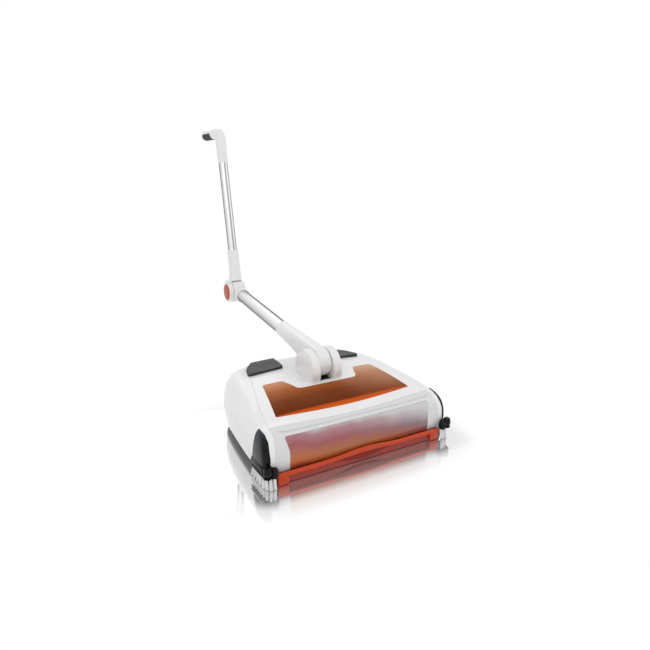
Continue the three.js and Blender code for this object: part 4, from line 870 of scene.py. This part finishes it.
def make_corner():
    skin = cut(head_form(-GAP - GUARD.thick, 0), head_form(-GAP, -OVERRUN))
    leaf = within(skin, prism(leaf_outline(), GUARD.inner, WIDE, "x"))
    bottom = GUARD.rail_bottom
    foot = bottom - GUARD.ledge
    inner, outer = GUARD.rail_inner, GUARD.rail_outer
    lap = inner - GUARD.rail_lap
    shape = [
        (lap, bottom), (outer, bottom), (outer, bottom + GUARD.ledge),
        (outer - GUARD.slope_out, GUARD.rail_top), (lap, GUARD.rail_top),
    ]
    rail = prism(rounded(shape, GUARD.rail_radii), GUARD.rail_front, GUARD.heel_y, "y")
    axis = (ROLLER.x, ROLLER.y, 0)
    low, high = ROLLER.z - ROLLER.half_height, ROLLER.z + ROLLER.half_height
    tab_top = low - GAP
    radius, edge = ROLLER.radius - GAP, GUARD.tab_edge
    profile = [(foot, 0), (foot, radius - edge), (foot + edge, radius), (tab_top, radius), (tab_top, 0)]
    tab = lathe(profile, "z", axis, FINE.small)
    tie = block(inner, outer, ROLLER.y, GUARD.rail_front + OVERRUN, foot, tab_top)
    heel_back = GUARD.rail_front + GUARD.ledge
    heel = block(inner, outer, GUARD.rail_front, heel_back, foot, bottom + OVERRUN)
    radius = LOBE.radius
    profile = [(foot, 0), (foot, radius * LOBE.foot_share), (foot + LOBE.edge, radius), (ROLLER.z, radius)]
    profile += [(ROLLER.z + radius * sin(angle), radius * cos(angle)) for angle in quarter(8, 1)]
    lobe = lathe(profile, "z", (LOBE.x, LOBE.y, 0), FINE.small)
    link = block(LOBE.x, ROLLER.x, LOBE.y - GUARD.ledge, LOBE.y + GUARD.ledge, foot, tab_top)
    body = joined(rail, tab, tie, heel, lobe, link)
    cut(body, head_form(-GAP, 0))
    keep_off = rod(tab_top + GAP / 2, high + 2 * GAP, ROLLER.radius + GAP, "z", axis, FINE.small)
    guard = cut(joined(leaf, body), keep_off)

    end = ROLLER.radius * ROLLER.end_share
    profile = [(low, 0), (low, end)]
    for k in range(1, FINE.bulge):
        share = k / FINE.bulge
        bulge = sin(pi * share) ** ROLLER.end_share
        profile.append((mix(low, high, share), ROLLER.radius * mix(ROLLER.flat_share, 1, bulge)))
    profile += [(high, end), (high, 0)]
    wheel = lathe(profile, "z", axis, FINE.small)
    place_sides(guard, "corner_plate", "head", "guard", "black", "corner_guard")
    place_sides(wheel, "corner_wheel", "bumper_{}", "gloss_black", "black", "corner_roller")


def add_strand(bm, root, tip, root_radius, tip_radius, sides=4):
    along = (tip - root).normalized()
    helper = Vector((1, 0, 0)) if abs(along.x) < 0.8 else Vector((0, 1, 0))
    u = along.cross(helper).normalized()
    v = along.cross(u)
    spokes = [u * cos(tau * i / sides) + v * sin(tau * i / sides) for i in range(sides)]
    ends = ((root, root_radius), (tip, tip_radius))
    add_skin(bm, [[centre + radius * spoke for spoke in spokes] for centre, radius in ends])


def make_tufts():
    chance = random.Random(7)
    top = GUARD.rail_bottom - GUARD.ledge - GAP
    middle = TUFT.first - TUFT.pitch * (TUFT.count - 1) / 2
    rows = [TUFT.first - i * TUFT.pitch for i in range(TUFT.count)]
    places = [(TUFT.x, y, TUFT.lean, (y - middle) * TUFT.fan_share) for y in rows]
    places += [(x, y, 0, -TUFT.lean) for x, y in CORNER_TUFTS]
    bm = bmesh.new()
    for x, y, lean_x, lean_y in places:
        for _ in range(TUFT.strands):
            angle = chance.uniform(0, tau)
            out = sqrt(chance.random())
            away = Vector((cos(angle), sin(angle), 0)) * out
            root = Vector((x, y, top - TUFT.sunk)) + away * TUFT.spread
            tip_height = TUFT.tip_height + chance.uniform(0, TUFT.uneven)
            tip = Vector((x + lean_x, y + lean_y, tip_height)) + away * TUFT.splay
            add_strand(bm, root, tip, TUFT.radius, TUFT.tip)
    tufts = to_object(bm, weld=False)
    backing = block(STRIP.inner, STRIP.outer, STRIP.front, STRIP.back, top - TUFT.backing, top)
    cut(backing, head_form(-GAP, 0))
    place_sides(tufts, "side_bristles", "head", "bristle", "bristle", "side_tufts")
    place_sides(backing, "bristle_strip", "head", "black", "bristle", "side_tufts")


def make_brush():
    chance = random.Random(11)
    outer = BRUSH.core_radius + GAP + BRUSH.sleeve
    profile = [(BRUSH.left, BRUSH.bore), (BRUSH.left, outer), (BRUSH.right, outer), (BRUSH.right, BRUSH.bore)]
    core = lathe(profile, "x", (0, BRUSH.y, BRUSH.z))
    place(core, "roller_core", "brush", "grey", "grey", "brush_core")
    bm = bmesh.new()
    left, right = BRUSH.left + BRUSH.margin, BRUSH.right - BRUSH.margin
    stray, scatter, uneven = BRUSH.stray, BRUSH.scatter, BRUSH.uneven
    for row in range(BRUSH.rows):
        for i in range(BRUSH.per_row):
            share = i / (BRUSH.per_row - 1)
            for lane in range(BRUSH.across):
                offset = (lane - 1) * BRUSH.lane_turn + chance.uniform(-stray, stray)
                angle = tau * (row / BRUSH.rows + BRUSH.twist * share) + offset
                lean = angle + offset * BRUSH.fan + chance.uniform(-stray, stray)
                x = left + (right - left) * share + chance.uniform(-scatter, scatter)
                origin = Vector((x, BRUSH.y, BRUSH.z))
                root = origin + Vector((0, cos(angle), sin(angle))) * (outer - BRUSH.sunk)
                tip = origin + Vector((chance.uniform(-uneven, uneven), 0, 0))
                reach = BRUSH.tip_radius - chance.uniform(0, uneven)
                tip += Vector((0, cos(lean), sin(lean))) * reach
                add_strand(bm, root, tip, BRUSH.radius, BRUSH.tip)
    bristles = to_object(bm, weld=False)
    place(bristles, "roller_bristles", "brush", "brush_orange", "brush_orange", "brush_bristles")


# Pedals

def make_pedals():
    wedge = head_form(-PEDAL.proud, 0)
    within(wedge, prism(pedal_plan(0), PEDAL.bottom, HIGH))
    bevelled(wedge, PEDAL.edge, 3, 35)
    x, y = PEDAL_MIDDLE
    radius = PEDAL.bowl_radius
    angles = [pi * (k / FINE.lathe - 0.5) for k in range(FINE.lathe + 1)]
    profile = [(radius * sin(angle), radius * cos(angle)) for angle in angles]
    height = top_height(x, y) + PEDAL.proud + radius - PEDAL.scoop
    cut(wedge, lathe(profile, "x", (x, y + PEDAL.bowl_back, height), FINE.large))
    place_sides(wedge, "pedal", "pedal_{}", "charcoal", "charcoal", "foot_pedal")


# Handle bracket and pole

def make_bracket():
    edge, rim, full = CHEEK.edge, CHEEK.rim, CHEEK.radius
    profile = [(CHEEK.inner, 0), (CHEEK.inner, full - CHEEK.chamfer), (CHEEK.inner + CHEEK.chamfer, full)]
    for angle in quarter(6):
        profile.append((rim - edge + edge * sin(angle), full - edge + edge * cos(angle)))
    foot = rim - CHEEK.groove
    profile.append((foot, CHEEK.dome_radius))
    rise = CHEEK.outer + CHEEK.dome - foot
    for angle in quarter(FINE.bulge, 1):
        profile.append((foot + rise * sin(angle) ** CHEEK.dome_power, CHEEK.dome_radius * cos(angle)))
    cheek = lathe(profile, "x", (0, CHEEK.y, CHEEK.z), FINE.large)
    across = CHEEK.inner + OVERRUN
    bed = block(-across, across, SADDLE.front, SADDLE.back, SADDLE.bottom, SADDLE.top)
    neck = block(
        -SADDLE.neck_half, SADDLE.neck_half, SADDLE.neck_front, SADDLE.neck_back, SADDLE.foot,
        SADDLE.bottom + OVERRUN,
    )
    plate = within(shell_form(), bracket_space(0))
    within(plate, block(-WIDE, WIDE, -WIDE, 2 * WIDE, SADDLE.top - OVERRUN, HIGH))
    front, back, half = LINER.front - GAP, LINER.back + GAP, LINER.half_width
    cut(plate, block(-CHEEK.inner, CHEEK.inner, front, back, SADDLE.top, HIGH))
    joined(cheek, mirrored(cheek), bed, neck, plate)
    cut(cheek, block(-half - GAP, half + GAP, front, back, SADDLE.top, LINER.top + GAP))
    place(cheek, "handle_mount", "head", "white", "white", "handle_bracket", angle=28)
    liner = block(-half, half, LINER.front, LINER.back, SADDLE.top + GAP, LINER.top)
    bevelled(liner, LINER.edge)
    place(liner, "slot_lining", "head", "black", "black", "slot_liner")


def section(x, y, z, half_x, half_z, power, count=FINE.section):
    ring = []
    for i in range(count):
        angle = tau * i / count
        c, s = cos(angle), sin(angle)
        px = half_x * copysign(abs(c) ** (2 / power), c)
        pz = half_z * copysign(abs(s) ** (2 / power), s)
        ring.append(Vector((x + px, y, z + pz)))
    return ring


def make_socket():
    keys = [(0, 0, KNUCKLE.half, KNUCKLE.radius, KNUCKLE.boxy)]
    for along, tall, broad, lift in TAPER_SHARES:
        keys.append((
            POLE.sleeve_end * along, POLE.axis * lift, mix(KNUCKLE.half, KNUCKLE.sleeve, broad),
            mix(KNUCKLE.radius, KNUCKLE.sleeve, tall), mix(KNUCKLE.boxy, KNUCKLE.round, sqrt(tall)),
        ))
    rows = []
    for k in range(FINE.cap_steps):
        angle = (k + 0.5) / FINE.cap_steps * pi / 2
        y = -KNUCKLE.radius * cos(angle)
        rows.append((y, 0, KNUCKLE.half, KNUCKLE.radius * sin(angle), KNUCKLE.boxy))
    rows += spline(keys, FINE.pole_key)[:-1]
    y, z, half_x, half_z, power = keys[-1]
    y -= KNUCKLE.edge
    for angle in quarter(4):
        shrink = KNUCKLE.edge * (1 - cos(angle))
        rows.append((y + KNUCKLE.edge * sin(angle), z, half_x - shrink, half_z - shrink, power))
    socket = loft([section(0, *row) for row in rows])
    cut(socket, rod(-WIDE, WIDE, PIVOT.radius, steps=FINE.small))
    low, top = POLE.tube_start - GAP, POLE.sleeve_end + OVERRUN
    cut(socket, rod(low, top, POLE.tube_radius + GAP, "y", (0, 0, POLE.axis)))
    place(socket, "pole_knuckle", "lower_pole", "white", "white", "pole_socket", angle=35)


def tube(radius, wall, low, top, z):
    inner = radius - wall
    return lathe([(low, inner), (low, radius), (top, radius), (top, inner)], "y", (0, 0, z), FINE.tube)


def make_lower_pole():
    centre = (0, 0, POLE.axis)
    lower = tube(POLE.tube_radius, POLE.tube_wall, POLE.tube_start, ELBOW.bore_end, POLE.axis)
    place(lower, "lower_pole_tube", "lower_pole", "silver", "silver", "lower_tube")
    half, edge = ELBOW.half, ELBOW.edge
    joint = (0, POLE.elbow, POLE.axis)
    drum = rod(-half, half, ELBOW.radius, "x", joint, edges=(edge, edge), edge_steps=8)
    start = ELBOW.neck_start
    neck = rod(start, POLE.elbow, ELBOW.neck_radius, "y", centre, edges=(ELBOW.neck_edge, 0))
    joined(drum, cut(neck, rod(-WIDE, -half, FORK.radius + GAP, "x", joint)))
    bore = rod(start - OVERRUN, ELBOW.bore_end + GAP, POLE.tube_radius + GAP, "y", centre)
    place(cut(drum, bore), "elbow_drum", "lower_pole", "white", "white", "elbow_lower", angle=35)


def make_upper_pole():
    length = UPPER.sleeve_end - FORK.low
    middle, half_x = (FORK.sleeve + FORK.outer) / 2, (FORK.sleeve - FORK.outer) / 2
    low = (middle, half_x, FORK.low_half_z, FORK.boxy)
    top = (0, FORK.sleeve, FORK.sleeve, FORK.round)
    rings = []
    for along, share in spline(FORK_SHARES, FINE.pole_key) + [Vector((FORK.end_share, 1))]:
        x, half_x, half_z, power = mixed(low, top, share)
        rings.append(section(x, FORK.low + length * along, 0, half_x, half_z, power))
    last = FORK.sleeve - FORK.end_shrink
    rings.append(section(0, UPPER.sleeve_end, 0, last, last, FORK.round))
    fork = loft(rings)
    edge, half_z = FORK.edge, FORK.low_half_z
    plate = rod(FORK.outer, FORK.inner, FORK.radius, edges=(edge, edge))
    strap = block(FORK.outer + edge, FORK.inner, 0, FORK.low + OVERRUN, -half_z, half_z)
    joined(fork, plate, bevelled(strap, FORK.strap_edge))
    start, end = UPPER.bore_start - GAP, UPPER.sleeve_end + OVERRUN
    recess = rod(FORK.outer - OVERRUN, FORK.floor, FORK.recess)
    cut(fork, recess, rod(start, end, UPPER.tube_radius + GAP, "y"))
    place(fork, "elbow_fork", "upper_pole", "white", "white", "elbow_upper", angle=35)
    upper = tube(UPPER.tube_radius, UPPER.tube_wall, UPPER.bore_start, UPPER.tube_end, 0)
    place(upper, "upper_pole_tube", "upper_pole", "silver_thin", "silver", "upper_tube")
    flat = LOCK.radius - LOCK.edge
    rim = LOCK.outer + LOCK.dome
    profile = [(LOCK.outer + LOCK.dome * (k / 10) ** 2, flat * k / 10) for k in range(11)]
    for angle in quarter(6, 1):
        profile.append((rim + LOCK.edge * (1 - cos(angle)), flat + LOCK.edge * sin(angle)))
    disc = lathe(profile + [(LOCK.inner, LOCK.radius), (LOCK.inner, 0)])
    place(disc, "elbow_lock_disc", "lock_button", "orange", "orange", "elbow_button")


def grip_sections(inset):
    """Rings along the grip. Each station is a place (y, z), the turn there, and the half sizes."""
    tangent = GRIP.radius * tan(GRIP.turn / 2)
    bend_start = GRIP.corner - tangent
    bend_end = (GRIP.mid[0], GRIP.top[1])
    corner = Vector((0, GRIP.corner, 0))
    heading = Vector((0, cos(GRIP.turn), -sin(GRIP.turn)))
    stations = []
    for k, share in enumerate(GRIP.edge_shares):
        sizes = tuple(size - share * GRIP.low_edge for size in GRIP.low)
        stations.append((GRIP.start + k * GRIP.edge_pitch, 0, 0, sizes))
    for k in range(1, GRIP.low_steps):
        share = k / GRIP.low_steps
        y = mix(GRIP.start + GRIP.low_edge, bend_start, share)
        stations.append((y, 0, 0, mixed(GRIP.low, GRIP.mid, share)))
    for k in range(GRIP.bend_steps + 1):
        share = k / GRIP.bend_steps
        angle = share * GRIP.turn
        y = bend_start + GRIP.radius * sin(angle)
        z = -GRIP.radius * (1 - cos(angle))
        stations.append((y, z, angle, mixed(GRIP.mid, bend_end, share)))
    last = GRIP.reach - GRIP.cap
    for k in range(1, GRIP.top_steps + 1):
        spot = corner + heading * mix(tangent, last, k / GRIP.top_steps)
        sizes = mixed(bend_end, GRIP.top, min(1, k / GRIP.top_blend))
        stations.append((spot.y, spot.z, GRIP.turn, sizes))
    for k in range(1, GRIP.cap_steps + 1):
        angle = k / (GRIP.cap_steps + GRIP.cap_open) * pi / 2
        spot = corner + heading * (last + GRIP.cap * sin(angle))
        stations.append((spot.y, spot.z, GRIP.turn, tuple(a * cos(angle) for a in GRIP.top)))
    rings = []
    for y, z, angle, (half_x, half_z) in stations:
        turn = Matrix.Translation((0, y, z)) @ Matrix.Rotation(-angle, 4, "X")
        ring = section(0, 0, 0, half_x - inset, half_z - inset, GRIP.power, FINE.small)
        rings.append([turn @ p for p in ring])
    return rings


def pad_space(clearance):
    tall = GRIP.top[1] * 2
    top = GRIP.top[1] * PAD.top_share + clearance
    front, back = PAD.front - clearance, PAD.back + clearance
    outline = [(front, -tall), (back, -tall), (back, top), (front, top)]
    space = prism(rounded(outline, [0, 0, PAD.corner, PAD.corner]), -WIDE, WIDE, "x")
    space.data.transform(Matrix.Translation((0, GRIP.corner, 0)) @ Matrix.Rotation(-GRIP.turn, 4, "X"))
    return space


def make_grip():
    grip = loft(grip_sections(0))
    cut(grip, cut(pad_space(GAP), loft(grip_sections(PAD.deep + GAP))))
    place(grip, "cane_grip", "upper_pole", "white", "white", "grip", angle=40)
    pad = cut(loft(grip_sections(-PAD.proud)), loft(grip_sections(PAD.deep)))
    within(pad, pad_space(0))
    place(pad, "grip_insert", "upper_pole", "soft", "soft", "grip_pad", angle=40)


# Carried-over nodes

NODE_MATERIALS = {
    "tray": "dust_tray",
    "grey": "brush_pulley chassis battery_door",
    "rubber": "drive_belt rear_wheel",
    "charcoal": "front_caster",
    "black": "charge_socket power_switch",
    "cells": "battery_pack",
    "board": "circuit_board",
    "steel": "brush_axle motor_pulley drive_motor rear_axle pedal_pin pedal_spring base_screw_front "
             "base_screw_rear pivot_pin elbow_pin button_spring",
}


def dress_nodes():
    """Shades the CAD nodes that show as they are. A name here also stands for its left and right node."""
    for material, names in NODE_MATERIALS.items():
        for name in names.split():
            for node in {name, name + "_left", name + "_right"} & set(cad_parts):
                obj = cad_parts[node]
                obj.data.materials.clear()
                obj.data.materials.append(MATERIALS[material])


# Stage, light and camera

def seen_rays(tree):
    """1 for the rays that show the background: straight, mirrored or through something clear."""
    path = add_node(tree, "LightPath")
    first = math_node(tree, "MAXIMUM", path.outputs["Is Camera Ray"], path.outputs["Is Glossy Ray"])
    return math_node(tree, "MAXIMUM", first, path.outputs["Is Transmission Ray"])


def footprint_distance(tree):
    """How far a point of the floor lies outside the head's plan, in metres."""
    parts = coordinates(tree)
    squares = []
    for axis, middle, half in (("X", 0, FLOOR.half_x), ("Y", FLOOR.middle_y, FLOOR.half_y)):
        away = math_node(tree, "ABSOLUTE", math_node(tree, "SUBTRACT", parts[axis], middle * MM))
        beyond = math_node(tree, "MAXIMUM", math_node(tree, "SUBTRACT", away, half * MM))
        squares.append(math_node(tree, "MULTIPLY", beyond, beyond))
    return math_node(tree, "SQRT", math_node(tree, "ADD", *squares))


def mix_shaders(tree, share, first, second):
    node = add_node(tree, "MixShader")
    for socket, output in zip(node.inputs, (share, first, second)):
        tree.links.new(output, socket)
    return node.outputs[0]


def glow(tree, strength):
    return add_node(tree, "Emission", Strength=strength).outputs[0]


def make_stage():
    """A white floor that mirrors the object close by, keeps its shadow, and turns plain white further out."""
    bpy.ops.mesh.primitive_plane_add(size=FLOOR.size)
    floor = bpy.context.object
    floor.name = "floor"
    floor.location.y = SHIFT
    material, tree, principled = shader("white_floor", (0.96, 0.96, 0.96), 0.5, specular_ior_level=0)
    distance = footprint_distance(tree)
    lifted = add_node(tree, "AddShader")
    tree.links.new(principled.outputs[0], lifted.inputs[0])
    tree.links.new(glow(tree, FLOOR.lift), lifted.inputs[1])
    mirror = add_node(tree, "BsdfGlossy", Roughness=FLOOR.blur)
    reach = math_node(tree, "DIVIDE", distance, FLOOR.mirror_reach * MM)
    strength = ramp(tree, reach, *[(spot, level, level, level) for spot, level in FLOOR.mirror])
    near = mix_shaders(tree, strength, lifted.outputs[0], mirror.outputs[0])
    span = (FLOOR.plain_from * MM, FLOOR.plain_to * MM, 1, 0)
    kept = spread(tree, distance, *span, interpolation_type="SMOOTHSTEP")
    seen = mix_shaders(tree, kept, glow(tree, 1), near)
    both = mix_shaders(tree, seen_rays(tree), principled.outputs[0], seen)
    tree.links.new(both, tree.nodes["Material Output"].inputs["Surface"])
    floor.data.materials.append(material)


def make_light():
    world = bpy.data.worlds.new("studio")
    scene.world = world
    world.use_nodes = True
    tree = world.node_tree
    background = tree.nodes["Background"]
    height = coordinates(tree, "Generated")["Z"]
    shade = ramp(tree, height, (0, 0.62, 0.62, 0.63), (0.5, 0.8, 0.8, 0.8), (1, 0.95, 0.95, 0.95))
    tree.links.new(shade, background.inputs["Color"])
    white = add_node(tree, "Background", Color=(1, 1, 1, 1))
    both = mix_shaders(tree, seen_rays(tree), background.outputs[0], white.outputs[0])
    tree.links.new(both, tree.nodes["World Output"].inputs["Surface"])
    for name, spot, size, power in LAMPS:
        data = bpy.data.lights.new(name, "AREA")
        data.size = size
        data.energy = power
        lamp = new_object(data, name)
        lamp.location = spot
        lamp.rotation_euler = (LAMP_AIM - Vector(spot)).to_track_quat("-Z", "Y").to_euler()


def make_camera():
    data = bpy.data.cameras.new("camera")
    data.sensor_width = 36
    data.lens = CAMERA.focal_px / CAMERA.side_px * data.sensor_width
    camera = new_object(data, "camera")
    azimuth, elevation = CAMERA.azimuth, CAMERA.elevation
    flat = cos(elevation)
    back = Vector((sin(azimuth) * flat, -cos(azimuth) * flat, sin(elevation)))
    camera.location = TO_ROW @ Vector(CAMERA.spot)
    camera.rotation_euler = (-back).to_track_quat("-Z", "Y").to_euler()
    scene.camera = camera


STEPS = [
    make_head, make_windows, make_lip, make_corner, make_tufts, make_brush, make_pedals, make_bracket,
    make_socket, make_lower_pole, make_upper_pole, make_grip, dress_nodes, make_stage, make_light,
    make_camera,
]
for step in STEPS:
    step()
scene.view_settings.view_transform = "Standard"

bpy.context.view_layer.update()
